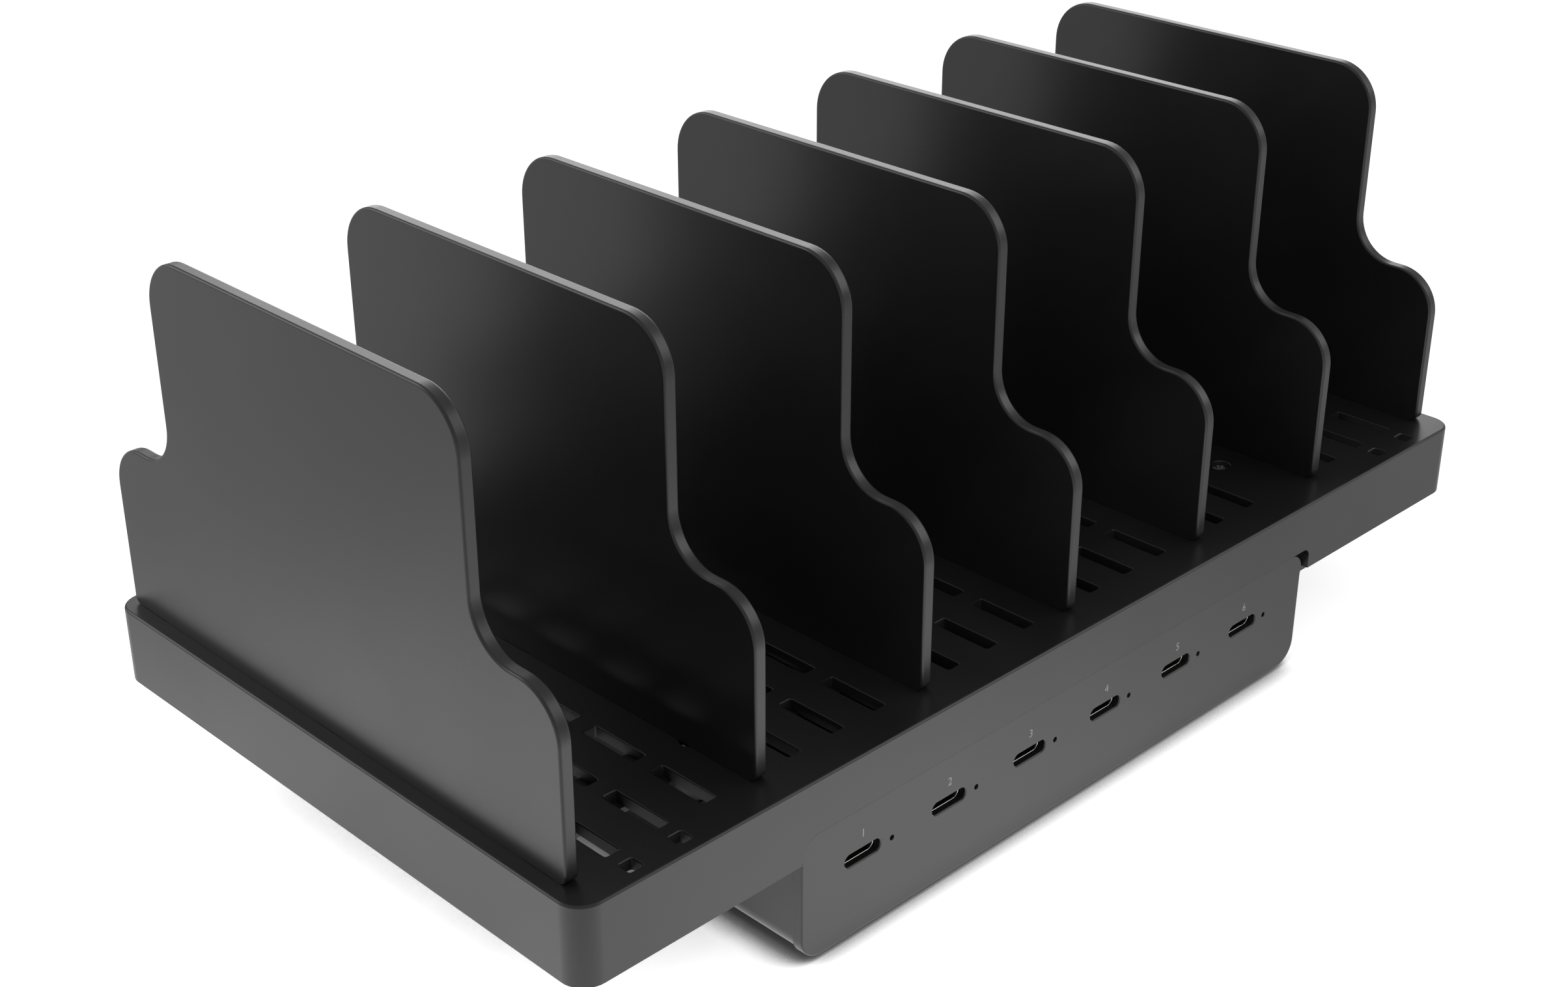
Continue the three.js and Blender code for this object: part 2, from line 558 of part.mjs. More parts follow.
// The lower case's section in X and Z: a trough with rounded lower edges.
function troughOutline() {
  const inner = CASE_INNER_HALF;
  const innerRadius = CASE_INNER_RADIUS;
  const shape = new THREE.Shape();
  shape.moveTo(-CASE_HALF + CASE_RADIUS, CASE_BOTTOM);
  shape.lineTo(CASE_HALF - CASE_RADIUS, CASE_BOTTOM);
  shape.absarc(CASE_HALF - CASE_RADIUS, CASE_BOTTOM + CASE_RADIUS, CASE_RADIUS, -Math.PI / 2, 0);
  shape.lineTo(CASE_HALF, COVER_BOTTOM);
  shape.lineTo(inner, COVER_BOTTOM);
  shape.lineTo(inner, FLOOR_TOP + innerRadius);
  shape.absarc(inner - innerRadius, FLOOR_TOP + innerRadius, innerRadius, 0, -Math.PI / 2, true);
  shape.lineTo(-inner + innerRadius, FLOOR_TOP);
  shape.absarc(-inner + innerRadius, FLOOR_TOP + innerRadius, innerRadius, -Math.PI / 2, -Math.PI, true);
  shape.lineTo(-inner, COVER_BOTTOM);
  shape.lineTo(-CASE_HALF, COVER_BOTTOM);
  shape.lineTo(-CASE_HALF, CASE_BOTTOM + CASE_RADIUS);
  shape.absarc(-CASE_HALF + CASE_RADIUS, CASE_BOTTOM + CASE_RADIUS, CASE_RADIUS, Math.PI, 1.5 * Math.PI);
  return shape;
}

// The four places that mirror about the unit's middle.
function fourPlaces(x, ys) {
  return ys.flatMap((y) => [
    { x: -x, y },
    { x, y },
  ]);
}

function powerStandoffPlaces() {
  const ys = [POWER_BOARD_FRONT + STANDOFF_INSET, POWER_BOARD_BACK - STANDOFF_INSET];
  return fourPlaces(POWER_BOARD_HALF - STANDOFF_INSET, ys);
}

function portStandoffPlaces() {
  const y = PORT_BOARD_BACK - STANDOFF_INSET;
  const firstGap = FIRST_PORT_X + PORT_PITCH / 2;
  const lastGap = LAST_PORT_X - PORT_PITCH / 2;
  return [firstGap, (firstGap + lastGap) / 2, lastGap].map((x) => ({ x, y }));
}

function lowerCaseGeometry() {
  const root = FLOOR_TOP - CASE_WALL / 4;
  const added = [prismY(troughOutline(), FASCIA_BACK, PANEL_FRONT)];
  for (const place of powerStandoffPlaces()) {
    added.push(cylinderZ(STANDOFF_RADIUS, place.x, place.y, root, BOARD_BOTTOM, SMALL_SIDES));
  }
  for (const place of portStandoffPlaces()) {
    added.push(cylinderZ(STANDOFF_RADIUS, place.x, place.y, root, PORT_BOARD_BOTTOM, SMALL_SIDES));
  }
  const removed = [];
  for (const place of fourPlaces(POST_X, FOOT_YS)) {
    const recess = FOOT_RADIUS + FIT_CLEARANCE;
    removed.push(cylinderZ(recess, place.x, place.y, CASE_BOTTOM - PAST, CASE_BOTTOM + FOOT_RECESS));
  }
  for (const place of fourPlaces(POST_X, POST_YS)) {
    const seat = CASE_BOTTOM + CASE_SCREW.seat;
    removed.push(cylinderZ(CASE_SCREW.head + SCREW_CLEARANCE, place.x, place.y, CASE_BOTTOM - PAST, seat));
    const hole = CASE_SCREW.shank + SCREW_CLEARANCE;
    removed.push(cylinderZ(hole, place.x, place.y, seat - PAST, FLOOR_TOP + PAST, SMALL_SIDES));
  }
  return carve(added, removed);
}

// The top cover: a plate on the case's walls, ears under the deck's bosses, posts for the case screws.
function topCoverGeometry() {
  const added = [box(-CASE_HALF, CASE_HALF, FASCIA_BACK, PANEL_FRONT, COVER_BOTTOM, UNIT_TOP)];
  const removed = [];
  for (const place of deckScrewPlaces()) {
    const side = Math.sign(place.x);
    const outer = place.x + side * EAR_MARGIN;
    const inner = side * CASE_INNER_HALF;
    const left = Math.min(outer, inner);
    const right = Math.max(outer, inner);
    added.push(box(left, right, place.y - EAR_MARGIN, place.y + EAR_MARGIN, COVER_BOTTOM, UNIT_TOP));
    const hole = DECK_SCREW.shank + SCREW_CLEARANCE;
    removed.push(cylinderZ(hole, place.x, place.y, COVER_BOTTOM - PAST, UNIT_TOP + PAST, SMALL_SIDES));
  }
  for (const place of fourPlaces(POST_X, POST_YS)) {
    const holeTop = CASE_BOTTOM + CASE_SCREW.seat + CASE_SCREW.length + SCREW_TIP_GAP;
    const hole = CASE_SCREW.shank + SCREW_CLEARANCE;
    added.push(cylinderZ(POST_RADIUS, place.x, place.y, FLOOR_TOP, COVER_BOTTOM + COVER_THICKNESS / 4));
    removed.push(cylinderZ(hole, place.x, place.y, FLOOR_TOP - PAST, holeTop, SMALL_SIDES));
  }
  return carve(added, removed);
}

function rearPartX(side) {
  return (side * REAR_PART_SPACING) / 2;
}

// An upright window through the rear panel, centred on one of its parts.
function panelWindow(x, width, height) {
  const halfWidth = width / 2 + FIT_CLEARANCE;
  const halfHeight = height / 2 + FIT_CLEARANCE;
  const bottom = REAR_PART_Z - halfHeight;
  const top = REAR_PART_Z + halfHeight;
  return box(x - halfWidth, x + halfWidth, PANEL_FRONT - PAST, UNIT_REAR + PAST, bottom, top);
}

function rearPanelGeometry() {
  const outline = roundedRectangle(-CASE_HALF, CASE_HALF, CASE_BOTTOM, UNIT_TOP, CASE_RADIUS, 0);
  const lugs = sideLugs(PANEL_FRONT - LUG_LENGTH, PANEL_FRONT + PANEL_THICKNESS / 2);
  const windows = [
    panelWindow(rearPartX(-1), INLET_WIDTH, INLET_HEIGHT),
    panelWindow(rearPartX(1), SWITCH_WIDTH, SWITCH_HEIGHT),
  ];
  return carve([prismY(outline, PANEL_FRONT, UNIT_REAR), ...lugs], windows);
}

// The body of a rear part: a block through the panel with a flange against the panel's outer face.
function flangedBlock(width, height, depth) {
  const flangeX = width / 2 + REAR_FLANGE;
  const flangeZ = height / 2 + REAR_FLANGE;
  const block = box(-width / 2, width / 2, -depth, REAR_FLANGE_THICKNESS, -height / 2, height / 2);
  const flange = box(-flangeX, flangeX, 0, REAR_FLANGE_THICKNESS, -flangeZ, flangeZ);
  return [block, flange];
}

// The inlet's mouth: two round lobes joined by a straight waist.
function inletCavityOutline() {
  const lobe = INLET_PIN_SPACING / 2;
  const shape = new THREE.Shape();
  shape.absarc(lobe, 0, INLET_LOBE_RADIUS, -INLET_WAIST_ANGLE, INLET_WAIST_ANGLE);
  shape.absarc(-lobe, 0, INLET_LOBE_RADIUS, Math.PI - INLET_WAIST_ANGLE, Math.PI + INLET_WAIST_ANGLE);
  return shape;
}

function inletBodyGeometry() {
  const cavityFloor = REAR_FLANGE_THICKNESS - INLET_CAVITY_DEPTH;
  const cavity = prismY(inletCavityOutline(), cavityFloor, REAR_FLANGE_THICKNESS + PAST);
  return carve(flangedBlock(INLET_WIDTH, INLET_HEIGHT, INLET_DEPTH), [cavity]);
}

function inletPinGeometry() {
  const root = REAR_FLANGE_THICKNESS - INLET_CAVITY_DEPTH;
  return cylinderY(INLET_PIN_RADIUS, 0, 0, root, root + INLET_PIN_LENGTH, SMALL_SIDES);
}

function switchFrameGeometry() {
  const windowX = SWITCH_WIDTH / 2 - SWITCH_WALL;
  const windowZ = SWITCH_HEIGHT / 2 - SWITCH_WALL;
  const well = box(
    -windowX,
    windowX,
    SWITCH_FLOOR - SWITCH_DEPTH,
    REAR_FLANGE_THICKNESS + PAST,
    -windowZ,
    windowZ,
  );
  const bearing = cylinderZ(
    TRUNNION_RADIUS + FIT_CLEARANCE,
    0,
    -ROCKER_PIVOT_DEPTH,
    -windowZ - TRUNNION_LENGTH - FIT_CLEARANCE / 2,
    windowZ + TRUNNION_LENGTH + FIT_CLEARANCE / 2,
    SMALL_SIDES,
  );
  return carve(flangedBlock(SWITCH_WIDTH, SWITCH_HEIGHT, SWITCH_DEPTH), [well, bearing]);
}

// The rocker's section in X and Y about its pivot: a dished face over a tapered keel.
function rockerOutline() {
  const end = SWITCH_WIDTH / 2 - SWITCH_WALL - ROCKER_END_CLEARANCE;
  const waist = end - ROCKER_KEEL / 4;
  const shape = new THREE.Shape();
  shape.moveTo(-ROCKER_KEEL, -ROCKER_KEEL);
  shape.lineTo(ROCKER_KEEL, -ROCKER_KEEL);
  shape.lineTo(waist - ROCKER_KEEL / 2, 0);
  shape.lineTo(waist, ROCKER_RISE / 2);
  shape.lineTo(end, ROCKER_RISE);
  shape.quadraticCurveTo(0, ROCKER_RISE - 2 * ROCKER_DISH, -end, ROCKER_RISE);
  shape.lineTo(-waist, ROCKER_RISE / 2);
  shape.lineTo(-waist + ROCKER_KEEL / 2, 0);
  return shape;
}

function rockerGeometry() {
  const halfWidth = SWITCH_HEIGHT / 2 - SWITCH_WALL - FIT_CLEARANCE;
  const trunnionEnd = halfWidth + TRUNNION_LENGTH;
  const trunnion = cylinderZ(TRUNNION_RADIUS, 0, 0, -trunnionEnd, trunnionEnd, SMALL_SIDES);
  return carve([prismZ(rockerOutline(), -halfWidth, halfWidth), trunnion]);
}

function shellGeometry() {
  const shape = socketOutline(SHELL_WIDTH, SHELL_HEIGHT);
  const inside = socketOutline(SHELL_WIDTH - 2 * SHELL_WALL, SHELL_HEIGHT - 2 * SHELL_WALL);
  shape.holes.push(inside);
  return prismY(shape, SHELL_FRONT, SHELL_FRONT + SHELL_LENGTH);
}

function tongueGeometry() {
  const shellBack = SHELL_FRONT + SHELL_LENGTH;
  const rootWidth = SHELL_WIDTH - 2 * SHELL_WALL - 3 * FIT_CLEARANCE;
  const rootHeight = SHELL_HEIGHT - 2 * SHELL_WALL - FIT_CLEARANCE;
  const root = prismY(socketOutline(rootWidth, rootHeight), shellBack - TONGUE_ROOT, shellBack);
  root.translate(0, 0, -FIT_CLEARANCE / 2);
  const blade = box(
    -TONGUE_WIDTH / 2,
    TONGUE_WIDTH / 2,
    SHELL_FRONT + TONGUE_SETBACK,
    shellBack - TONGUE_ROOT / 2,
    -TONGUE_THICKNESS / 2,
    TONGUE_THICKNESS / 2,
  );
  return carve([root, blade]);
}

// A light pipe: a foot on the port board and a thin rod that reaches into the fascia's pin-hole.
function lightPipeGeometry() {
  const foot = box(
    -PIPE_FOOT / 2,
    PIPE_FOOT / 2,
    PORT_BOARD_FRONT,
    PORT_BOARD_FRONT + PIPE_FOOT,
    PORT_BOARD_TOP - LED_Z,
    PIPE_FOOT / 2,
  );
  const rodRadius = LED_HOLE / 2 - LED_CLEARANCE;
  const rod = cylinderY(rodRadius, 0, 0, FRONT + LED_SETBACK, PORT_BOARD_FRONT + PIPE_FOOT / 2, SMALL_SIDES);
  return carve([foot, rod]);
}

function portBoardGeometry() {
  const left = FIRST_PORT_X - PORT_BOARD_LEFT;
  const right = LAST_PORT_X + LED_OFFSET + PORT_BOARD_RIGHT;
  return box(left, right, PORT_BOARD_FRONT, PORT_BOARD_BACK, PORT_BOARD_BOTTOM, PORT_BOARD_TOP);
}

function powerBoardGeometry() {
  const half = POWER_BOARD_HALF;
  return box(-half, half, POWER_BOARD_FRONT, POWER_BOARD_BACK, BOARD_BOTTOM, BOARD_TOP);
}

// The transformer's core: a closed frame round the winding, standing on the board.
function coreGeometry() {
  const half = CORE_WIDTH / 2;
  const shape = roundedRectangle(-half, half, 0, TALL_PART_HEIGHT, 0, 0);
  const inside = half - CORE_LIMB;
  shape.holes.push(roundedRectangle(-inside, inside, CORE_YOKE, TALL_PART_HEIGHT - CORE_YOKE, 0, 0));
  return prismY(shape, -CORE_DEPTH / 2, CORE_DEPTH / 2);
}

function windingGeometry() {
  const half = CORE_WIDTH / 2 - CORE_LIMB - WINDING_CLEARANCE;
  const top = TALL_PART_HEIGHT - CORE_YOKE - WINDING_CLEARANCE;
  const outline = roundedRectangle(-half, half, CORE_YOKE, top, 0, (top - CORE_YOKE) / 4);
  return prismY(outline, -WINDING_DEPTH / 2, WINDING_DEPTH / 2);
}

// A ring of round section lying on the board.
function chokeGeometry() {
  const ring = new THREE.TorusGeometry(CHOKE_RADIUS - CHOKE_TUBE, CHOKE_TUBE, SMALL_SIDES, ROUND_SIDES);
  return ring.translate(0, 0, CHOKE_TUBE);
}

// A finned extrusion standing on the board, with its fins towards +X.
function heatSinkGeometry() {
  const half = HEAT_SINK_LENGTH / 2;
  const finPitch = (HEAT_SINK_LENGTH - FIN_THICKNESS) / (FIN_COUNT - 1);
  const shape = new THREE.Shape();
  shape.moveTo(0, half);
  shape.lineTo(0, -half);
  for (let fin = 0; fin < FIN_COUNT; fin += 1) {
    const start = -half + fin * finPitch;
    shape.lineTo(HEAT_SINK_BASE + FIN_REACH, start);
    shape.lineTo(HEAT_SINK_BASE + FIN_REACH, start + FIN_THICKNESS);
    if (fin < FIN_COUNT - 1) {
      shape.lineTo(HEAT_SINK_BASE, start + FIN_THICKNESS);
      shape.lineTo(HEAT_SINK_BASE, start + finPitch);
    }
  }
  return prismZ(shape, 0, TALL_PART_HEIGHT);
}

// A screw with its head's seat at level 0 and its shank below, with a cross recess in the head.
function screwGeometry(screw) {
  const headTop = screw.headHeight;
  const arm = screw.head * CROSS_REACH;
  const recess = headTop - CROSS_DEPTH;
  const head = cylinderZ(screw.head, 0, 0, 0, headTop);
  const shank = cylinderZ(screw.shank, 0, 0, -screw.length, headTop / 2, SMALL_SIDES);
  const half = CROSS_WIDTH / 2;
  const cross = [
    box(-arm, arm, -half, half, recess, headTop + PAST),
    box(-half, half, -arm, arm, recess, headTop + PAST),
  ];
  return carve([head, shank], cross);
}

const station = new THREE.Group();
const unit = new THREE.Group();
unit.position.x = UNIT_OFFSET;
station.add(unit);

function addPiece(group, name, geometry, material, x = 0, y = 0, z = 0) {
  const mesh = new THREE.Mesh(geometry, material);
  mesh.name = name;
  mesh.position.set(x, y, z);
  group.add(mesh);
  return mesh;
}

addPiece(station, "deck", deckGeometry(), materials.charcoalPlastic);
addPiece(station, "front_strap", strapGeometry(DECK_SCREW_YS[0]), materials.blackPlastic);
addPiece(station, "rear_strap", strapGeometry(DECK_SCREW_YS[1]), materials.blackPlastic);

const divider = dividerGeometry();
dividerCentres().forEach((x, index) => {
  const name = `divider_${index + 1}`;
  addPiece(station, name, divider, materials.charcoalPlastic, x, DIVIDER_CENTRE_Y, DECK_TOP);
});

addPiece(unit, "front_fascia", fasciaGeometry(), materials.charcoalPlastic);
addPiece(unit, "lower_case", lowerCaseGeometry(), materials.charcoalPlastic);
addPiece(unit, "top_cover", topCoverGeometry(), materials.blackPlastic);
addPiece(unit, "rear_panel", rearPanelGeometry(), materials.charcoalPlastic);

const shell = shellGeometry();
const tongue = tongueGeometry();
const lightPipe = lightPipeGeometry();
portPlaces().forEach((x, index) => {
  const number = index + 1;
  addPiece(unit, `usb_c_shell_${number}`, shell, materials.plating, x, 0, PORT_Z);
  addPiece(unit, `usb_c_tongue_${number}`, tongue, materials.blackPlastic, x, 0, PORT_Z);
  addPiece(unit, `light_pipe_${number}`, lightPipe, materials.clearPlastic, x + LED_OFFSET, 0, LED_Z);
});

addPiece(unit, "port_board", portBoardGeometry(), materials.board);
addPiece(unit, "power_board", powerBoardGeometry(), materials.board);

// Parts on the power board, side by side along X from the transformer in the middle.
const capacitorX = -(CORE_WIDTH / 2 + PART_SPACING + CAPACITOR_RADIUS);
const chokeX = capacitorX - CAPACITOR_RADIUS - PART_SPACING - CHOKE_RADIUS;
const fuseY = POWER_BOARD_CENTRE + CHOKE_RADIUS + PART_SPACING + FUSE_RADIUS;
const heatSinkX = CORE_WIDTH / 2 + PART_SPACING;
const secondSinkX = heatSinkX + HEAT_SINK_BASE + FIN_REACH + PART_SPACING;
const capacitor = cylinderZ(CAPACITOR_RADIUS, 0, 0, 0, TALL_PART_HEIGHT);
const fuseTube = cylinderY(FUSE_RADIUS, 0, 0, 0, FUSE_LENGTH, SMALL_SIDES);
const heatSink = heatSinkGeometry();
const onBoard = [POWER_BOARD_CENTRE, BOARD_TOP];
addPiece(unit, "transformer_core", coreGeometry(), materials.ferrite, 0, ...onBoard);
addPiece(unit, "transformer_winding", windingGeometry(), materials.windingTape, 0, ...onBoard);
[-1, 1].forEach((side, index) => {
  const y = POWER_BOARD_CENTRE + (side * CAPACITOR_SPACING) / 2;
  addPiece(unit, `bulk_capacitor_${index + 1}`, capacitor, materials.blackPlastic, capacitorX, y, BOARD_TOP);
});
addPiece(unit, "choke", chokeGeometry(), materials.ferrite, chokeX, ...onBoard);
addPiece(unit, "fuse", fuseTube, materials.plating, chokeX, fuseY, BOARD_TOP + FUSE_RADIUS);
addPiece(unit, "heat_sink_1", heatSink, materials.aluminium, heatSinkX, ...onBoard);
addPiece(unit, "heat_sink_2", heatSink, materials.aluminium, secondSinkX, ...onBoard);

const inlet = new THREE.Group();
inlet.position.set(rearPartX(-1), UNIT_REAR, REAR_PART_Z);
unit.add(inlet);
const inletPin = inletPinGeometry();
addPiece(inlet, "inlet_body", inletBodyGeometry(), materials.blackPlastic);
addPiece(inlet, "inlet_pin_left", inletPin, materials.plating, -INLET_PIN_SPACING / 2);
addPiece(inlet, "inlet_pin_right", inletPin, materials.plating, INLET_PIN_SPACING / 2);

const powerSwitch = new THREE.Group();
powerSwitch.position.set(rearPartX(1), UNIT_REAR, REAR_PART_Z);
unit.add(powerSwitch);
addPiece(powerSwitch, "switch_frame", switchFrameGeometry(), materials.blackPlastic);
const rocker = addPiece(powerSwitch, "power_rocker", rockerGeometry(), materials.blackPlastic);
rocker.position.y = -ROCKER_PIVOT_DEPTH;
rocker.rotation.z = -ROCKER_TILT;

const foot = cylinderZ(FOOT_RADIUS, 0, 0, 0, CASE_BOTTOM + FOOT_RECESS);
fourPlaces(POST_X, FOOT_YS).forEach((place, index) => {
  addPiece(unit, `rubber_foot_${index + 1}`, foot, materials.rubber, place.x, place.y);
});

const deckScrew = screwGeometry(DECK_SCREW);
deckScrewPlaces().forEach((place, index) => {
  const z = DECK_TOP - DECK_SCREW.seat;
  addPiece(unit, `deck_screw_${index + 1}`, deckScrew, materials.plating, place.x, place.y, z);
});

const caseScrew = screwGeometry(CASE_SCREW).rotateX(Math.PI);
fourPlaces(POST_X, POST_YS).forEach((place, index) => {
  const z = CASE_BOTTOM + CASE_SCREW.seat;
  addPiece(unit, `case_screw_${index + 1}`, caseScrew, materials.plating, place.x, place.y, z);
});

export default station;
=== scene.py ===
"""Looks of a usb charging station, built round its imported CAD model.

The file is laid out as an add-on and run as a script. Each operator makes one kind of piece, or the stage.
Lengths are metres in the CAD frame: X runs along the front, Y from front to back, and Z is up.
"""

import json
import math

import bpy
import numpy as np
from bpy.props import FloatProperty, FloatVectorProperty, IntProperty, PointerProperty
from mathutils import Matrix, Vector
from mathutils.geometry import delaunay_2d_cdt


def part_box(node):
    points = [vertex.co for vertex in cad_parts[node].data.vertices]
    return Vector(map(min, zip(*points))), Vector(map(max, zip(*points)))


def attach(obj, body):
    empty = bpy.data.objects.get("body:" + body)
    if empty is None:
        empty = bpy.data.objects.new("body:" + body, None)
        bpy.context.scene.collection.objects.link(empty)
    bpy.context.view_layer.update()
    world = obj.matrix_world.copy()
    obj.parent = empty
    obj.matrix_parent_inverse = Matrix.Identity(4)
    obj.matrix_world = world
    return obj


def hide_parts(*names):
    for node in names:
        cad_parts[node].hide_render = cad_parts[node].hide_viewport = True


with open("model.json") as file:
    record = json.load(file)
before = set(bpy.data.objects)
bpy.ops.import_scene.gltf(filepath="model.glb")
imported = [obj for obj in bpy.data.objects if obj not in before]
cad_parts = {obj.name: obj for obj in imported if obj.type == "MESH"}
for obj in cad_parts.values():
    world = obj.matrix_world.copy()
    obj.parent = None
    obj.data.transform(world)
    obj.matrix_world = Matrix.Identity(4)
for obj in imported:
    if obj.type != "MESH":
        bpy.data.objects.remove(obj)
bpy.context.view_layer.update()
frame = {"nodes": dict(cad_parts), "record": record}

bl_info = {
    "name": "USB charging station",
    "version": (1, 0, 0),
    "blender": (4, 5, 0),
    "location": "3D View > Sidebar > Station",
    "description": "Makes the finished pieces of a usb charging station and the stage it stands on",
    "category": "Object",
}

MM = 0.001
ALONG_X = np.array([1.0, 0.0, 0.0])
ALONG_Y = np.array([0.0, 1.0, 0.0])
ALONG_Z = np.array([0.0, 0.0, 1.0])
FROM_ABOVE = np.stack([ALONG_X, ALONG_Y, ALONG_Z])
FROM_FRONT = np.stack([ALONG_X, ALONG_Z, -ALONG_Y])
FROM_RIGHT = np.stack([ALONG_Y, ALONG_Z, ALONG_X])
FROM_BACK = np.stack([ALONG_Z, ALONG_X, ALONG_Y])
FROM_BELOW = np.stack([ALONG_X, -ALONG_Y, -ALONG_Z])
DIVIDERS = [f"divider_{number}" for number in range(1, 8)]
SOCKETS = range(1, 7)
FOUR_CORNERS = range(1, 5)
DOWN = (0, 0, -1)
UP = (0, 0, 1)

# Rounds that are too small to set: at hidden ends, on fine edges, on hidden edges and in hidden corners.
END_ROUND = 0.02 * MM
FINE_ROUND = 0.05 * MM
HIDDEN_ROUND = 0.1 * MM
HIDDEN_FILLET = 0.2 * MM

# Cells of the plastic grain per metre.
HOUSING_GRAIN = 3600.0
DIVIDER_GRAIN = 4200.0
ROCKER_GRAIN = 4800.0

# Roughness that walls inside a moulding gain.
INNER_DULLING = 0.3


def length(name, description, millimetres):
    """A length property, given in millimetres and kept in metres."""
    default = millimetres * MM
    return FloatProperty(name=name, description=description, default=default, unit="LENGTH", precision=5)


def spot(name, description, x, y, z):
    """A property for a place, in metres."""
    return FloatVectorProperty(name=name, description=description, default=(x, y, z), subtype="TRANSLATION")


def colour(name, description, red, green, blue):
    """A colour property with linear components."""
    return FloatVectorProperty(
        name=name, description=description, default=(red, green, blue), subtype="COLOR", min=0.0, max=1.0
    )


def number(name, description, value):
    """A plain number property."""
    return FloatProperty(name=name, description=description, default=value, precision=4)


class DividerSizes(bpy.types.PropertyGroup):
    """Sizes of the stepped divider plates."""

    edge: length("Edge round", "Radius along the plate's outline", 0.55)
    foot_radius: length("Foot radius", "Radius of the two lower corners", 2.0)
    foot_edge: number("Foot edge", "Share of the edge round that is left along the foot", 0.1)
    shoulder_height: length("Shoulder height", "Height of the shoulder above the deck", 35.2)
    shoulder_radius: length("Shoulder radius", "Radius of the outer shoulder corner", 9.5)
    neck_radius: length("Neck radius", "Radius of the hollow above the shoulder", 9.3)
    shoulder_flat: length("Shoulder flat", "Level stretch between shoulder and neck", 2.1)
    top_radius: length("Top radius", "Radius of the upper corners", 10.0)
    tab_length: length("Tab length", "Length of each tab below the foot", 9.0)
    tab_inset: length("Tab inset", "Distance from the plate's end to its first tab", 2.7)
    tab_tip: length("Tab tip", "Radius of a tab's lower corners", 0.8)
    tab_root: length("Tab root", "Radius where a tab meets the foot", 0.2)
    tabs: IntProperty(name="Tabs", description="Tabs along each plate", default=3)


class DeckSizes(bpy.types.PropertyGroup):
    """Sizes of the deck, its vents and the seats in it."""

    corner: length("Corner radius", "Radius of the deck's upright corners", 5.0)
    edge: length("Top edge", "Radius along the top edge", 0.5)
    plate: length("Plate", "Thickness of the flat top", 2.4)
    wall: length("Apron wall", "Thickness of the apron", 2.4)
    lower_edge: length("Lower edge", "Radius along the apron's lower edge", 0.03)
    hole_edge: length("Hole edge", "Radius round the upper edge of every slot", 0.25)
    inner_edge: length("Inner edge", "Radius of edges under the deck", 0.1)
    hole_corner: length("Hole corner", "Radius of the slots' corners", 0.45)
    vent_width: length("Vent width", "Width of a vent slot", 3.0)
    vent_length: length("Vent length", "Length of a vent slot", 13.5)
    vent_row_gap: length("Vent row gap", "Gap between the rows of vents", 4.35)
    vent_margin: length("Vent margin", "Distance from the deck's front to the first row", 8.7)
    vent_pitch: length("Vent pitch", "Distance between the columns of vents in a bay", 10.8)
    short_vent: length("Short vent", "Length of the short vents at the front of the end bays", 3.0)
    short_vent_margin: length("Short vent margin", "Distance from the apron's inside to a short vent", 0.3)
    tab_clearance: length("Tab clearance", "Play round a divider's tab", 0.03)
    tab_edge: length("Tab slot edge", "Radius round the upper edge of a tab slot", 0.05)
    sleeve: length("Sleeve wall", "Thickness of the sleeves under the tab slots", 1.2)
    seat_radius: length("Seat radius", "Radius of a deck screw's seat", 2.2)
    seat_depth: length("Seat depth", "Depth of a deck screw's seat", 1.6)
    seat_web: length("Seat web", "Least width between a seat and a vent", 1.0)
    boss_radius: length("Boss radius", "Radius of the bosses under the seats", 3.0)
    bore_radius: length("Bore radius", "Radius of the screw's clearance hole", 1.3)
    cutout_gap: length("Cut-out gap", "Open width of the apron's cut-out beside the fascia", 2.6)
    cutout_radius: length("Cut-out radius", "Radius in the corner of that open width", 2.0)
    # A dark sheet behind the cut-out's open width, which hides the floor under the deck there: it stands in
    # for the shade in that opening.
    rib_gap: length("Rib gap", "Gap between the fascia and the rib behind the cut-out's open width", 0.3)
    rib_length: length("Rib length", "Length of that rib", 7.5)
    rib_thickness: length("Rib thickness", "Thickness of that rib", 1.4)
    rib_drop: length("Rib drop", "Depth of that rib below the apron", 2.2)


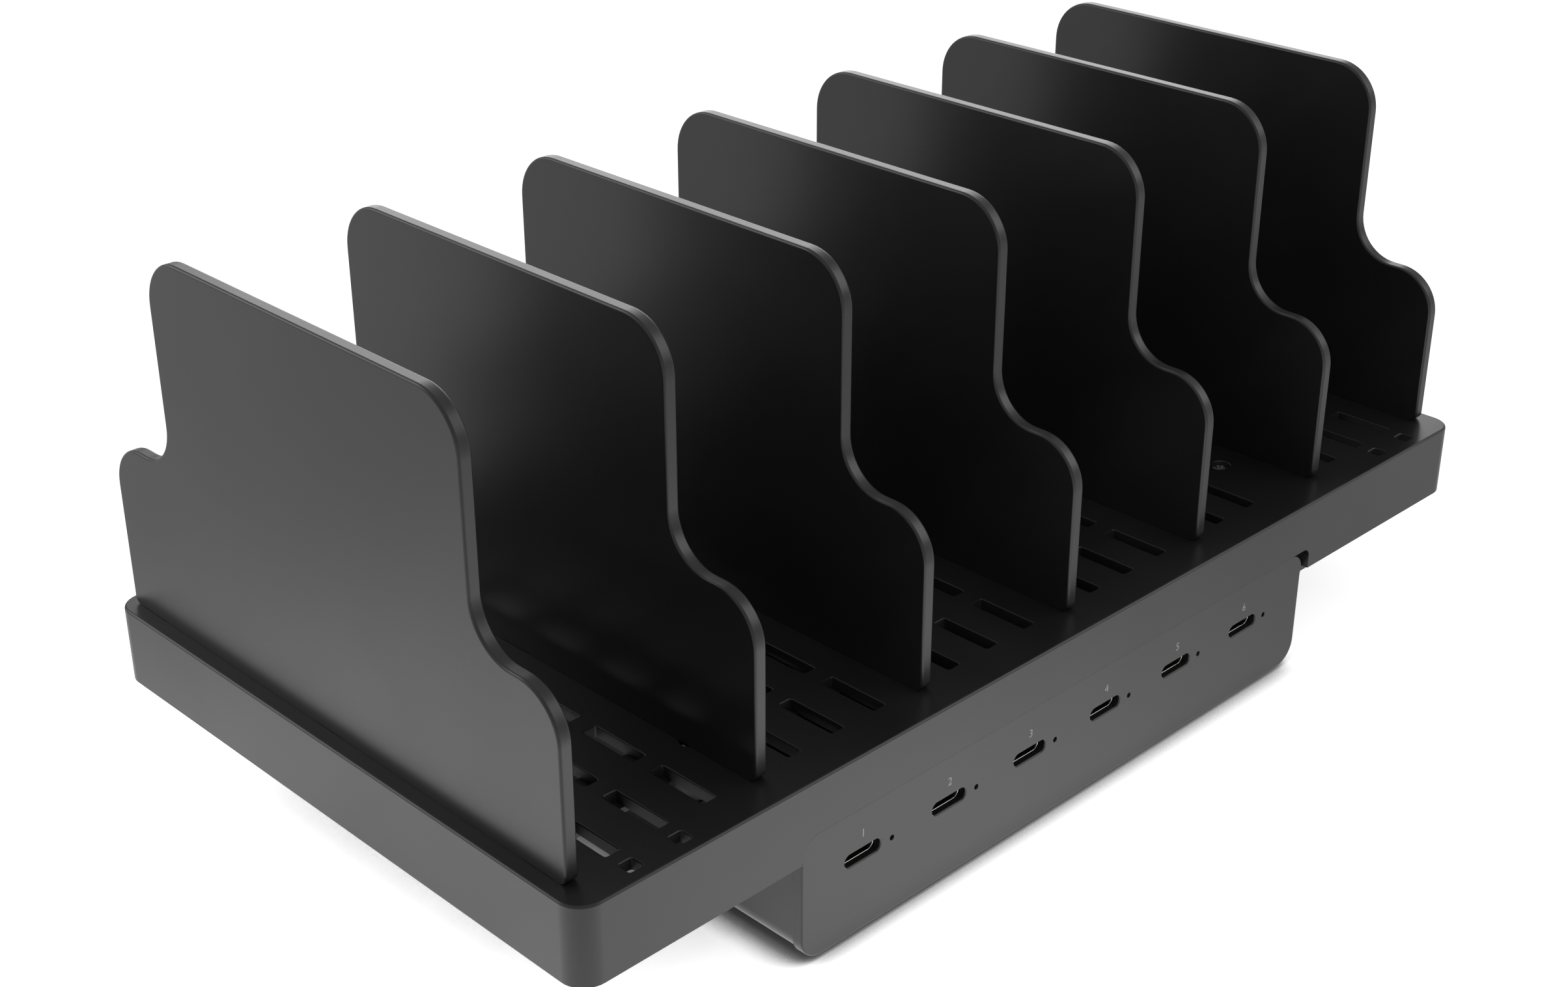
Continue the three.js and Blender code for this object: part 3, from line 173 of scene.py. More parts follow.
class UnitSizes(bpy.types.PropertyGroup):
    """Sizes of the charger unit."""

    lower_radius: length("Lower radius", "Radius of the fascia's lower corners", 5.0)
    upper_radius: length("Upper radius", "Radius of the fascia's upper corners", 4.0)
    edge: length("Edge round", "Radius along the fascia's front edge", 0.35)
    seam_edge: number("Seam edge", "Share of that edge round that is left beside the apron", 0.03)
    case_wall: length("Case wall", "Thickness of the lower case", 2.2)
    port_width: length("Socket width", "Width of a socket opening", 9.2)
    port_height: length("Socket height", "Height of a socket opening", 2.6)
    port_lip: length("Socket lip", "Radius round the front of a socket opening", 0.35)
    port_web: length("Socket web", "Thickness of the fascia in front of a shell", 1.4)
    port_room: length("Socket room", "Play round a shell in the fascia's pocket", 0.3)
    shell_wall: length("Shell wall", "Thickness of a socket's metal shell", 0.3)
    shell_lip: number("Shell lip", "Radius along a shell's edges, as a share of its wall", 0.4)
    tongue_thickness: length("Tongue thickness", "Thickness of a socket's tongue", 0.7)
    tongue_width: length("Tongue width", "Width of a socket's tongue", 6.7)
    tongue_root: length("Tongue root", "Depth of the block that carries the tongue", 1.5)
    tongue_edge: length("Tongue edge", "Radius along the ends of a tongue", 0.12)
    light_hole: length("Light hole", "Diameter of an indicator's pin-hole", 1.1)
    pipe_radius: length("Light pipe", "Radius of a light pipe", 0.3)
    pipe_dome: length("Light pipe dome", "Radius round the front of a light pipe", 0.22)
    panel_corner: length("Panel corner", "Radius of the rear panel's upper corners", 0.3)
    panel_edge: length("Panel edge", "Radius along the rear panel's edges", 0.15)
    window_play: length("Window play", "Play round the parts in the rear panel", 0.3)
    window_corner: length("Window corner", "Radius of the corners of the rear panel's windows", 1.0)
    flange: length("Flange", "Width of the flange round a rear part", 1.5)
    recess: length("Foot recess", "Depth of the recess that holds a foot", 0.6)
    recess_play: length("Recess play", "Play round a foot in its recess", 0.02)
    foot_edge: length("Foot edge", "Radius round the lower edge of a foot", 0.5)
    screw_seat: length("Screw seat", "Depth of a case screw's seat", 1.2)
    screw_play: length("Screw play", "Play round a case screw", 0.3)
    screw_bore: length("Screw bore", "Radius of a case screw's clearance hole", 1.4)
    numeral_height: length("Numeral height", "Height of the printed numerals", 1.7)
    numeral_rise: length("Numeral rise", "Height of a numeral's middle above its socket's middle", 4.5)
    numeral_ink: length("Ink", "Thickness of the printed ink", 0.01)


class RearSizes(bpy.types.PropertyGroup):
    """Sizes of the inlet and the switch in the rear panel."""

    flange_depth: length("Flange depth", "Thickness of the flange outside the panel", 1.5)
    corner: length("Corner", "Radius of the flange's corners", 2.0)
    edge: length("Edge round", "Radius along the flange's outer edge", 0.4)
    seat_edge: length("Seat edge", "Radius of the edges behind the flange", 0.15)
    cavity_depth: length("Cavity depth", "Depth of the inlet's mouth", 12.0)
    lobe_radius: length("Lobe radius", "Radius of the two lobes of the inlet's mouth", 4.2)
    lobe_reach: number("Lobe reach", "Angle from a lobe's end to the waist of the mouth, in degrees", 134.6)
    pin_tip: length("Pin tip", "Radius round the end of a pin", 0.8)
    well_wall: length("Well wall", "Wall of the switch round its well", 1.2)
    well_depth: length("Well depth", "Depth of the well below the panel", 6.5)
    well_corner: length("Well corner", "Radius of the well's corners", 0.3)
    rocker_tilt: FloatProperty(
        name="Rocker tilt",
        description="Tilt of the rocker at rest",
        default=math.radians(-8.0),
        subtype="ANGLE",
    )
    rocker_rise: length("Rocker rise", "Height of the rocker's ends over its pivot", 4.0)
    rocker_dish: length("Rocker dish", "Depth of the hollow in the rocker's face", 1.1)
    rocker_end: length("Rocker end", "Distance from the pivot to either end of the rocker", 6.9)
    rocker_keel: length("Rocker keel", "Depth and half width of the keel below the pivot", 2.2)
    rocker_play: length("Rocker play", "Play between the rocker and the well's sides", 0.3)
    rocker_edge: length("Rocker edge", "Radius along the rocker's two sides", 0.3)


class ScrewSizes(bpy.types.PropertyGroup):
    """Sizes of the domed screws."""

    deck_head: length("Deck head", "Height of a deck screw's head", 1.3)
    case_head: length("Case head", "Height of a case screw's head", 1.0)
    dome: length("Dome", "Rise of the head over its rim", 0.5)
    shank: length("Shank", "Radius of the shank", 1.0)
    cross_width: length("Cross width", "Width of the cross recess", 0.6)
    cross_reach: number("Cross reach", "Reach of the cross as a share of the head's radius", 0.5)
    cross_depth: length("Cross depth", "Depth of the cross recess", 0.6)
    cross_flat: number("Cross flat", "Radius of the flat round the cross, as a share of its reach", 1.25)


class Finishes(bpy.types.PropertyGroup):
    """Colours and gloss of the materials."""

    housing: colour("Housing", "Plastic of the deck and the charger unit", 0.0065, 0.0066, 0.0066)
    divider: colour("Dividers", "Plastic of the dividers", 0.0065, 0.0066, 0.0066)
    black: colour("Black", "Plastic of the rear parts and covers", 0.010, 0.010, 0.0105)
    plating: colour("Plating", "Metal of the socket shells", 0.62, 0.61, 0.58)
    steel: colour("Steel", "Metal of screws and pins", 0.62, 0.62, 0.60)
    lens: colour("Light pipe", "Milky plastic of the light pipes", 0.34, 0.35, 0.34)
    ink: colour("Ink", "Printed numerals", 0.30, 0.30, 0.30)
    rubber: colour("Rubber", "Feet", 0.016, 0.016, 0.016)
    board: colour("Board", "Solder mask of the boards", 0.012, 0.09, 0.04)
    copper: colour("Copper", "Traces and contacts", 0.75, 0.48, 0.16)
    ferrite: colour("Ferrite", "Transformer core and choke", 0.03, 0.03, 0.032)
    tape: colour("Tape", "Film round the transformer's winding", 0.62, 0.40, 0.05)
    deck_gloss: number("Deck roughness", "Roughness of the deck", 0.34)
    housing_gloss: number("Unit roughness", "Roughness of the charger unit", 0.31)
    case_gloss: number("Case roughness", "Roughness of the lower case", 0.2)
    divider_gloss: number("Divider roughness", "Roughness of the dividers", 0.34)
    rear_gloss: number("Rear roughness", "Roughness of the inlet and the switch frame", 0.3)
    rocker_gloss: number("Rocker roughness", "Roughness of the rocker", 0.24)
    inner_gloss: number("Inner roughness", "Roughness of the covers and straps inside", 0.38)
    plating_gloss: number("Plating roughness", "Roughness of the socket shells", 0.17)
    pin_gloss: number("Pin roughness", "Roughness of the inlet's pins", 0.2)
    screw_gloss: number("Screw roughness", "Roughness of the screws", 0.24)
    steel_gloss: number("Steel roughness", "Roughness of the metal parts inside", 0.28)
    sink_gloss: number("Heat sink roughness", "Roughness of the heat sinks", 0.4)


class StageSettings(bpy.types.PropertyGroup):
    """The camera, the floor and the light."""

    eye: spot("Eye", "Place of the camera", -0.3094, -0.2974, 0.2561)
    turn: FloatVectorProperty(
        name="Turn",
        description="Turn of the camera",
        default=(math.radians(63.41), 0.0, math.radians(-44.66)),
        subtype="EULER",
    )
    lens: number("Lens", "Focal length for a 36 mm wide image, in millimetres", 52.23)
    floor: colour("Floor", "Colour of the white card", 0.90, 0.90, 0.90)
    # Painted pool of light: this colour, the middle and two radii below and the two glows set how the floor
    # is painted darker, and glows less, with distance from a middle near the object.
    surround: colour("Surround", "Colour of the floor beyond the card", 0.35, 0.35, 0.35)
    # Painted contact shadow: the colour that the floor darkens to beside the object.
    contact: colour("Contact", "Colour of the floor where the object touches it", 0.3, 0.3, 0.3)
    card_middle: spot("Card middle", "Middle of the white card", -0.13, -0.09, 0.0)
    card_near: length("Card radius", "Distance from its middle at which the card begins to fade", 60.0)
    card_far: length("Surround radius", "Distance at which the surround begins", 275.0)
    # Painted shadow of the camera: the three entries below set where the floor's mirrored glow is taken away.
    shade_middle: spot("Shade middle", "Middle of the dark patch below the camera", -0.26, -0.20, 0.0)
    shade_near: length("Shade radius", "Distance from its middle at which that patch begins to fade", 60.0)
    shade_far: length("Shade end", "Distance at which that patch ends", 230.0)
    card_glow: number("Card glow", "Light that the card adds where it is mirrored", 1.0)
    surround_glow: number("Surround glow", "Light that the surround adds where it is mirrored", 0.4)
    seen_glow: number("Seen glow", "Light that the open floor adds towards the camera", 0.75)
    shadow_reach: length("Shadow reach", "Distance over which the object dims the glow", 150.0)
    shadow_front: length("Shadow front", "Y at which the shadow round the object begins to deepen", -45.0)
    shadow_depth: length("Shadow depth", "Length over which it deepens", 20.0)
    shadow_closed: number("Shadow closed", "Open share at which the glow is gone", 0.04)
    shadow_spread: number("Shadow spread", "Gain in open share over which the glow comes back", 0.08)
    mirror_deepening: number("Mirror deepening", "Open share that the deep shadow takes when mirrored", 0.5)
    # The three contact entries set where the painted contact shadow falls.
    contact_reach: length("Contact reach", "Distance over which the floor darkens beside the object", 10.0)
    contact_closed: number("Contact closed", "Open share at which that darkening is whole", 0.45)
    contact_spread: number("Contact spread", "Gain in open share over which that darkening ends", 0.3)
    sky: number("Sky", "Strength of the even light from all round", 1.0)
    mirrored_sky: number("Mirrored sky", "Strength of that light where it is mirrored", 0.5)
    lamp_width: length("Lamp width", "Side of the left and the right lamp", 600.0)
    left_place: spot("Left lamp", "Middle of the left lamp", -0.58, 0.74, 0.52)
    left_power: number("Left power", "Power of the left lamp, in watts", 2.3)
    right_place: spot("Right lamp", "Middle of the right lamp", 0.62, -0.62, 0.62)
    right_power: number("Right power", "Power of the right lamp, in watts", 2.0)
    back_place: spot("Back lamp", "Middle of the lamp behind", 0.85, 0.85, 0.55)
    back_width: length("Back width", "Side of the lamp behind", 1000.0)
    back_power: number("Back power", "Power of the lamp behind, in watts", 6.6)


class StationSettings(bpy.types.PropertyGroup):
    """All settings of the charging station."""

    divider: PointerProperty(type=DividerSizes, name="Dividers", description="Sizes of the dividers")
    deck: PointerProperty(type=DeckSizes, name="Deck", description="Sizes of the deck")
    unit: PointerProperty(type=UnitSizes, name="Unit", description="Sizes of the charger unit")
    rear: PointerProperty(type=RearSizes, name="Rear", description="Sizes of the inlet and the switch")
    screw: PointerProperty(type=ScrewSizes, name="Screws", description="Sizes of the screws")
    finish: PointerProperty(type=Finishes, name="Finishes", description="Colours of the materials")
    stage: PointerProperty(type=StageSettings, name="Stage", description="Camera and light")


def node_box(name):
    """Lowest and highest corner of a CAD node, as arrays."""
    low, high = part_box(name)
    return np.array(low), np.array(high)


def middle(name):
    """Middle of a CAD node's box."""
    return np.mean(node_box(name), axis=0)


def round_place(name):
    """Middle in X and in Y, and radius, of a CAD node that is round as seen from above."""
    low, high = node_box(name)
    x, y, _ = (low + high) / 2
    return x, y, (high[0] - low[0]) / 2


def arc_chain(arcs, steps):
    """Points and normals along arcs that straight lines join.

    An arc is a row of centre u, centre v, radius, first angle and last angle in degrees. Its points are the
    centre plus the radius times (cos, sin) of evenly spaced angles. The normal is that direction where the
    arc turns left, and the opposite where it turns right, so it points away from a body on the chain's left.
    """
    rows = np.asarray(arcs, float)
    share = np.linspace(0.0, 1.0, steps + 1)
    angle = np.radians(rows[:, 3:4] + (rows[:, 4:5] - rows[:, 3:4]) * share)
    direction = np.stack([np.cos(angle), np.sin(angle)], axis=-1)
    points = rows[:, None, 0:2] + rows[:, None, 2:3] * direction
    normals = direction * np.sign(rows[:, 4] - rows[:, 3])[:, None, None]
    return points.reshape(-1, 2), normals.reshape(-1, 2)


def closed_chain(arcs, steps):
    """An arc chain that ends where it starts, without its repeated points."""
    points, normals = arc_chain(arcs, steps)
    apart = np.linalg.norm(points - np.roll(points, 1, axis=0), axis=1) > 1e-8
    return points[apart], normals[apart]


def rectangle(left, right, low, high, low_radius, high_radius, steps):
    """A closed rectangle with one radius at its lower corners and one at its upper corners."""
    arcs = [
        (right - low_radius, low + low_radius, low_radius, -90, 0),
        (right - high_radius, high - high_radius, high_radius, 0, 90),
        (left + high_radius, high - high_radius, high_radius, 90, 180),
        (left + low_radius, low + low_radius, low_radius, 180, 270),
    ]
    return closed_chain(arcs, steps)


def rounded(corners, radii, steps):
    """A closed outline through corners that are rounded, each by its own radius.

    Each arc touches both sides of its corner. Its centre is off the first touching point by the radius, on
    the side that the outline turns to.
    """
    corners = np.asarray(corners, float)
    radii = np.broadcast_to(radii, len(corners))
    ahead = np.roll(corners, -1, axis=0) - corners
    ahead /= np.linalg.norm(ahead, axis=1, keepdims=True)
    behind = np.roll(ahead, 1, axis=0)
    left = np.stack([-behind[:, 1], behind[:, 0]], axis=1)
    turn = np.arctan2(np.sum(left * ahead, axis=1), np.sum(behind * ahead, axis=1))
    inward = left * np.sign(turn)[:, None]
    touch = corners - behind * (radii * np.tan(np.abs(turn) / 2))[:, None]
    first = np.arctan2(-inward[:, 1], -inward[:, 0])
    rows = [touch + inward * radii[:, None], radii, np.degrees(first), np.degrees(first + turn)]
    return closed_chain(np.column_stack(rows), steps)


def split_at(outline, height):
    """The outline with a point added wherever it crosses a height."""
    points, normals = outline
    ahead = np.roll(points, -1, axis=0) - points
    rise = height - points[:, 1]
    crossed = np.flatnonzero(rise * (rise - ahead[:, 1]) < 0)
    added = points[crossed] + ahead[crossed] * (rise[crossed] / ahead[crossed, 1])[:, None]
    after = crossed + 1
    return np.insert(points, after, added, axis=0), np.insert(normals, after, normals[crossed], axis=0)


def circle(u, v, radius, steps):
    """A closed circle."""
    return closed_chain([(u, v, radius, 0, 360)], steps)


def hole(outline):
    """The same outline as the edge of a hole: its normals point into the hole."""
    return outline[0], -outline[1]


def plate_edge(low, high, low_round, high_round, steps):
    """Profile of a plate's edge, from its low face to its high face: quarter round, wall, quarter round."""
    arcs = [
        (-low_round, low + low_round, low_round, -90, 0),
        (-high_round, high - high_round, high_round, 0, 90),
    ]
    return arc_chain(arcs, steps)


def blind_edge(floor, top, fillet, edge, steps):
    """Profile of a blind hole from its floor to its mouth: hollow fillet, straight wall, quarter round."""
    arcs = [
        (fillet, floor + fillet, fillet, 270, 180),
        (-edge, top - edge, edge, 0, 90),
    ]
    return arc_chain(arcs, steps)


def signed_area(loop):
    """Twice the area inside a closed loop of flat points: above 0 where the loop turns left."""
    ahead = np.roll(loop, -1, axis=0)
    return np.sum(loop[:, 0] * ahead[:, 1] - loop[:, 1] * ahead[:, 0])


class Shell:
    """A closed surface that is put together from swept edges and flat faces, in coordinates u, v and w."""

    def __init__(self):
        self.points = np.zeros((0, 3))
        self.normals = np.zeros((0, 3))
        self.faces = []

    def add_points(self, points, normals):
        """Adds a grid of points and returns their indices in the grid's shape."""
        first = len(self.points)
        self.points = np.concatenate([self.points, points.reshape(-1, 3)])
        self.normals = np.concatenate([self.normals, normals.reshape(-1, 3)])
        return np.arange(first, len(self.points)).reshape(points.shape[:2])

    def add_grid(self, index, round_path=True, round_profile=False):
        """Adds the four-sided faces between neighbours in a grid of indices, closed along either side."""
        rows = index if not round_path else np.concatenate([index, index[:1]])
        grid = rows if not round_profile else np.concatenate([rows, rows[:, :1]], axis=1)
        corners = [grid[:-1, :-1], grid[1:, :-1], grid[1:, 1:], grid[:-1, 1:]]
        self.faces.append((np.stack(corners, axis=-1).reshape(-1, 4), None))

    def carry(self, path, profile, round_profile=False, lift=0.0, lift_share=0.0, reach=1.0):
        """Carries a profile round a closed path.

        Point (i, k) is path point i moved along its normal by reach i times the profile's first value k, at
        the height of the profile's second value k plus lift i times share k. The normals are turned alike.
        """
        (path_points, path_normals), (profile_points, profile_normals) = path, profile
        offset = np.broadcast_to(reach, len(path_points))[:, None] * profile_points[None, :, 0]
        flat = path_points[:, None] + path_normals[:, None] * offset[..., None]
        rise = np.broadcast_to(lift, len(path_points))[:, None]
        height = profile_points[None, :, 1] + rise * np.broadcast_to(lift_share, len(profile_points))
        across = path_normals[:, None] * profile_normals[None, :, :1]
        upward = np.broadcast_to(profile_normals[None, :, 1], height.shape)
        points = np.concatenate([flat, height[..., None]], axis=-1)
        index = self.add_points(points, np.concatenate([across, upward[..., None]], axis=-1))
        self.add_grid(index, round_profile=round_profile)
        return index

    def fill(self, loops, normal, columns=(0, 1)):
        """Fills the flat space inside the first loop of indices and outside the others with triangles."""
        leftward = [signed_area(self.points[loop][:, columns]) > 0 for loop in loops]
        index = np.concatenate([loop if left else loop[::-1] for loop, left in zip(loops, leftward)])
        ends = np.cumsum([len(loop) for loop in loops])
        rings = [ring.tolist() for ring in np.split(np.arange(len(index)), ends[:-1])]
        filled = delaunay_2d_cdt(self.points[index][:, columns].tolist(), [], rings, 2, 1e-9)
        source = np.array([origin[0] for origin in filled[3]])
        self.faces.append((index[source[np.array(filled[2])]], np.array(normal, float)))

    def plate(self, outline, holes, edge, reach=1.0, lift=0.0, lift_share=0.0):
        """A plate: an edge profile carried round its outline, others round its holes, and two flat faces."""
        rings = [self.carry(outline, edge, lift=lift, lift_share=lift_share, reach=reach)]
        rings += [self.carry(hole(inner), inner_edge) for inner, inner_edge in holes]
        self.fill([ring[:, 0] for ring in rings], DOWN)
        self.fill([ring[:, -1] for ring in rings], UP)

    def block(self, outline, edge, mouth, mouth_edge):
        """A block with a blind hole in its high face: profiles carried round its outline and the mouth."""
        body = self.carry(outline, edge)
        inside = self.carry(hole(mouth), mouth_edge)
        self.fill([body[:, 0]], DOWN)
        self.fill([body[:, -1], inside[:, -1]], UP)
        self.fill([inside[:, 0]], UP)

    def piece(self, name, axes, material, attributes):
        """Makes the object: puts u, v and w along the axes, and turns each face to agree with its normals."""
        place = self.points @ axes
        faces = []
        corner_normals = []
        for block, flat_normal in self.faces:
            normals = self.normals[block]
            if flat_normal is not None:
                normals = np.broadcast_to(flat_normal, normals.shape)
            corner = self.points[block]
            facing = np.cross(corner[:, 2] - corner[:, 0], corner[:, -1] - corner[:, 1])
            wrong = np.einsum("ij,ij->i", facing, normals.mean(axis=1)) < 0
            faces += np.where(wrong[:, None], block[:, ::-1], block).tolist()
            corner_normals.append(np.where(wrong[:, None, None], normals[:, ::-1], normals).reshape(-1, 3))
        mesh = bpy.data.meshes.new(name)
        mesh.from_pydata(place, [], faces)
        mesh.polygons.foreach_set("use_smooth", np.ones(len(faces), bool))
        for key, values in (attributes or {}).items():
            mesh.attributes.new(key, "FLOAT", "POINT").data.foreach_set("value", values.astype(np.float32))
        mesh.normals_split_custom_set((np.concatenate(corner_normals) @ axes).tolist())
        return finished(name, mesh, material)

    def stand_in(self, node, name, axes, material, slot, body="station", attributes=None):
        """Makes a piece that stands for a CAD node, rides on its body and hides the node. The slot is not
        used.
        """
        piece = self.piece(name, axes, material, attributes)
        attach(piece, body)
        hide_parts(node)


def finished(name, mesh, material):
    """Links a mesh as an object at the origin with its material."""
    mesh.materials.append(material)
    piece = bpy.data.objects.new(name, mesh)
    bpy.context.scene.collection.objects.link(piece)
    return piece


class Wire:
    """One output of a shader node. Arithmetic on it adds the Math nodes that work the expression out."""

    def __init__(self, look, socket):
        self.look = look
        self.socket = socket

    def math(self, operation, first, second):
        """One Math node with two values or links."""
        return self.look.node("ShaderNodeMath", {"operation": operation}, {0: first, 1: second})

    def __add__(self, other):
        return self.math("ADD", self, other)

    def __radd__(self, other):
        return self.math("ADD", other, self)

    def __sub__(self, other):
        return self.math("SUBTRACT", self, other)

    def __rsub__(self, other):
        return self.math("SUBTRACT", other, self)

    def __mul__(self, other):
        return self.math("MULTIPLY", self, other)

    def __rmul__(self, other):
        return self.math("MULTIPLY", other, self)

    def __truediv__(self, other):
        return self.math("DIVIDE", self, other)

    def __rtruediv__(self, other):
        return self.math("DIVIDE", other, self)

    def __gt__(self, other):
        return self.math("GREATER_THAN", self, other)

    def __lt__(self, other):
        return self.math("LESS_THAN", self, other)

    def clamped(self):
        """The value, kept between 0 and 1."""
        return self.look.node("ShaderNodeMath", {"operation": "ADD", "use_clamp": True}, {0: self, 1: 0.0})

    def fraction(self):
        """What is left of the value after its whole number."""
        return self.look.node("ShaderNodeMath", {"operation": "FRACT"}, {0: self})


class Look:
    """The nodes of a material or a world. One method makes every node, and values are expressions."""

    def __init__(self, owner):
        self.owner = owner
        owner.use_nodes = True
        self.tree = owner.node_tree
        self.tree.nodes.clear()
        self.place = self.node("ShaderNodeTexCoord", output="Object")

    def node(self, kind, settings=None, inputs=None, output=0):
        """Makes a node from its type, its settings and its sockets' values or links, and gives an output."""
        made = self.tree.nodes.new(kind)
        for key, value in (settings or {}).items():
            setattr(made, key, value)
        for key, value in (inputs or {}).items():
            if isinstance(value, Wire):
                self.tree.links.new(value.socket, made.inputs[key])
            else:
                made.inputs[key].default_value = value
        return Wire(self, made.outputs[output]) if len(made.outputs) else None

    def noise(self, scale, detail=2.0, vector=None):
        """Cloudy noise, with about scale cells per metre."""
        inputs = {"Vector": vector or self.place, "Scale": scale, "Detail": detail}
        return self.node("ShaderNodeTexNoise", {}, inputs)

    def turned(self, angles):
        """The place turned by three angles."""
        return self.node("ShaderNodeMapping", {}, {"Vector": self.place, "Rotation": angles})

    def stretched(self, vector, scale):
        """A vector with each direction scaled by its own number."""
        return self.node("ShaderNodeVectorMath", {"operation": "MULTIPLY"}, {0: vector, 1: scale})

    def fade(self, centre, near, far):
        """0 within a near distance of a place and 1 beyond a far one, with a smooth change between them."""
        inputs = {0: self.place, 1: centre}
        distance = self.node("ShaderNodeVectorMath", {"operation": "DISTANCE"}, inputs, "Value")
        share = ((distance - near) / (far - near)).clamped()
        return share * share * (3.0 - 2.0 * share)

    def free(self, reach):
        """The share of directions over the surface in which nothing is met within reach."""
        return self.node("ShaderNodeAmbientOcclusion", {"samples": 8}, {"Distance": reach}, "AO")

    def within(self, low, high):
        """1 inside a box with its sides along the axes, and 0 outside it."""
        share = 1.0
        for output, (start, end) in enumerate(zip(low, high)):
            share = share * (self.axis(output) > start) * (self.axis(output) < end)
        return share

    def axis(self, output):
        """One coordinate of the place: 0, 1 or 2."""
        return self.node("ShaderNodeSeparateXYZ", {}, {0: self.place}, output)

    def own(self, name):
        """A number that the piece's own points carry."""
        return self.node("ShaderNodeAttribute", {"attribute_name": name}, {}, "Fac")

    def blend(self, share, first, second):
        """A colour between two, by a share from 0 to 1."""
        settings = {"data_type": "RGBA", "clamp_factor": True}
        pair = [value if isinstance(value, Wire) else (*value, 1.0) for value in (first, second)]
        return self.node("ShaderNodeMix", settings, {0: share, 6: pair[0], 7: pair[1]}, 2)

    def bump(self, height, strength, distance):
        """A normal that follows a height."""
        inputs = {"Strength": strength, "Distance": distance, "Height": height}
        return self.node("ShaderNodeBump", {}, inputs)

    def surface(self, inputs):
        """Ends the material with a principled surface."""
        shader = self.node("ShaderNodeBsdfPrincipled", {}, inputs)
        self.node("ShaderNodeOutputMaterial", {}, {"Surface": shader})
        return self.owner


def shade(rgb, factor):
    """A colour made darker or lighter."""
    return tuple(min(1.0, part * factor) for part in rgb)


def moulded_plastic(name, rgb, roughness, grain, inside=None):
    """Moulded plastic: a fine spark-eroded grain, slow clouds, slanting wipe marks and specks of dust.

    Walls inside a box, given by its two ends, are left duller than the faces round it.
    """
    look = Look(bpy.data.materials.new(name))
    fine = look.noise(grain, 3.0)
    cloud = look.noise(38.0, 4.0)
    dust = look.noise(900.0, 1.0) > 0.76
    tone = look.blend(cloud * 0.7 + fine * 0.3, shade(rgb, 0.8), shade(rgb, 1.2))
    slant, stretch = (0.7, 0.0, 0.3), (1.0, 0.22, 1.0)
    wiped = look.noise(26.0, 3.0, look.stretched(look.turned(slant), stretch))
    haze = ((wiped - 0.48) * 3.0).clamped()
    tone = look.blend(haze, tone, shade(rgb, 2.0))
    dulled = look.within(*inside) * INNER_DULLING if inside else 0.0
    return look.surface(
        {
            "Base Color": look.blend(dust * 0.05, tone, shade(rgb, 4.0)),
            "Roughness": roughness + (cloud - 0.5) * 0.10 + (fine - 0.5) * 0.08 + dulled,
            "IOR": 1.52,
            "Normal": look.bump(fine, 0.10, 0.02 * MM),
        }
    )


def drawn_metal(name, rgb, roughness, streaks):
    """Metal with faint dull patches and fine drawing lines, whose cells per metre differ along the axes."""
    look = Look(bpy.data.materials.new(name))
    line = look.noise(1.0, 3.0, look.stretched(look.place, streaks))
    patch = look.noise(400.0, 2.0)
    return look.surface(
        {
            "Base Color": look.blend(patch * 0.6 + line * 0.4, shade(rgb, 0.75), shade(rgb, 1.1)),
            "Metallic": 1.0,
            "Roughness": roughness + (line - 0.5) * 0.18 + (patch - 0.5) * 0.10,
            "Normal": look.bump(line, 0.12, 0.01 * MM),
        }
    )


def tongue_plastic(name, rgb, contact):
    """Black moulding with rows of bright contacts across the tongue's two faces."""
    look = Look(bpy.data.materials.new(name))
    fine = look.noise(5000.0, 2.0)
    across = look.own("across")
    depth = look.own("depth")
    pitch, gap, first, last = 0.5 * MM, 0.42, 0.3 * MM, 3.6 * MM
    stripe = (across / pitch).fraction() > gap
    face = (depth > first) * (depth < last) * look.own("blade")
    bright = stripe * face
    return look.surface(
        {
            "Base Color": look.blend(bright, rgb, contact),
            "Metallic": bright,
            "Roughness": 0.42 - bright * 0.16 + (fine - 0.5) * 0.1,
            "Normal": look.bump(fine, 0.1, 0.01 * MM),
        }
    )


def milky_plastic(name, rgb):
    """Clear plastic with a slight haze and fine bubbles."""
    look = Look(bpy.data.materials.new(name))
    haze = look.noise(1500.0, 3.0)
    return look.surface(
        {
            "Base Color": look.blend(haze, shade(rgb, 0.8), shade(rgb, 1.15)),
            "Roughness": 0.2 + haze * 0.15,
            "Normal": look.bump(haze, 0.1, 0.02 * MM),
        }
    )


def printed_ink(name, rgb):
    """Matt screen-printed ink with a faint mesh grain."""
    look = Look(bpy.data.materials.new(name))
    grain = look.noise(6000.0, 2.0)
    return look.surface(
        {
            "Base Color": look.blend(grain, shade(rgb, 0.85), shade(rgb, 1.1)),
            "Roughness": 0.5 + grain * 0.2,
        }
    )


def foot_rubber(name, rgb):
    """Soft rubber: dull, with a coarse grain and dusty patches."""
    look = Look(bpy.data.materials.new(name))
    grain = look.noise(2500.0, 4.0)
    dusty = look.noise(220.0, 3.0)
    return look.surface(
        {
            "Base Color": look.blend(dusty, shade(rgb, 0.8), shade(rgb, 1.8)),
            "Roughness": 0.78 + grain * 0.15,
            "Normal": look.bump(grain, 0.35, 0.05 * MM),
        }
    )


def circuit_board(name, rgb, copper):
    """Solder mask over copper traces that run in cells of straight lines."""
    look = Look(bpy.data.materials.new(name))
    inputs = {"Vector": look.place, "Scale": 320.0}
    cell = look.node("ShaderNodeTexVoronoi", {"distance": "MANHATTAN"}, inputs)
    trace = cell > 0.55
    speck = look.noise(2500.0, 2.0)
    return look.surface(
        {
            "Base Color": look.blend(trace * 0.5 + speck * 0.1, rgb, shade(copper, 0.35)),
            "Roughness": 0.32 + speck * 0.12,
            "Normal": look.bump(trace, 0.2, 0.03 * MM),
        }
    )


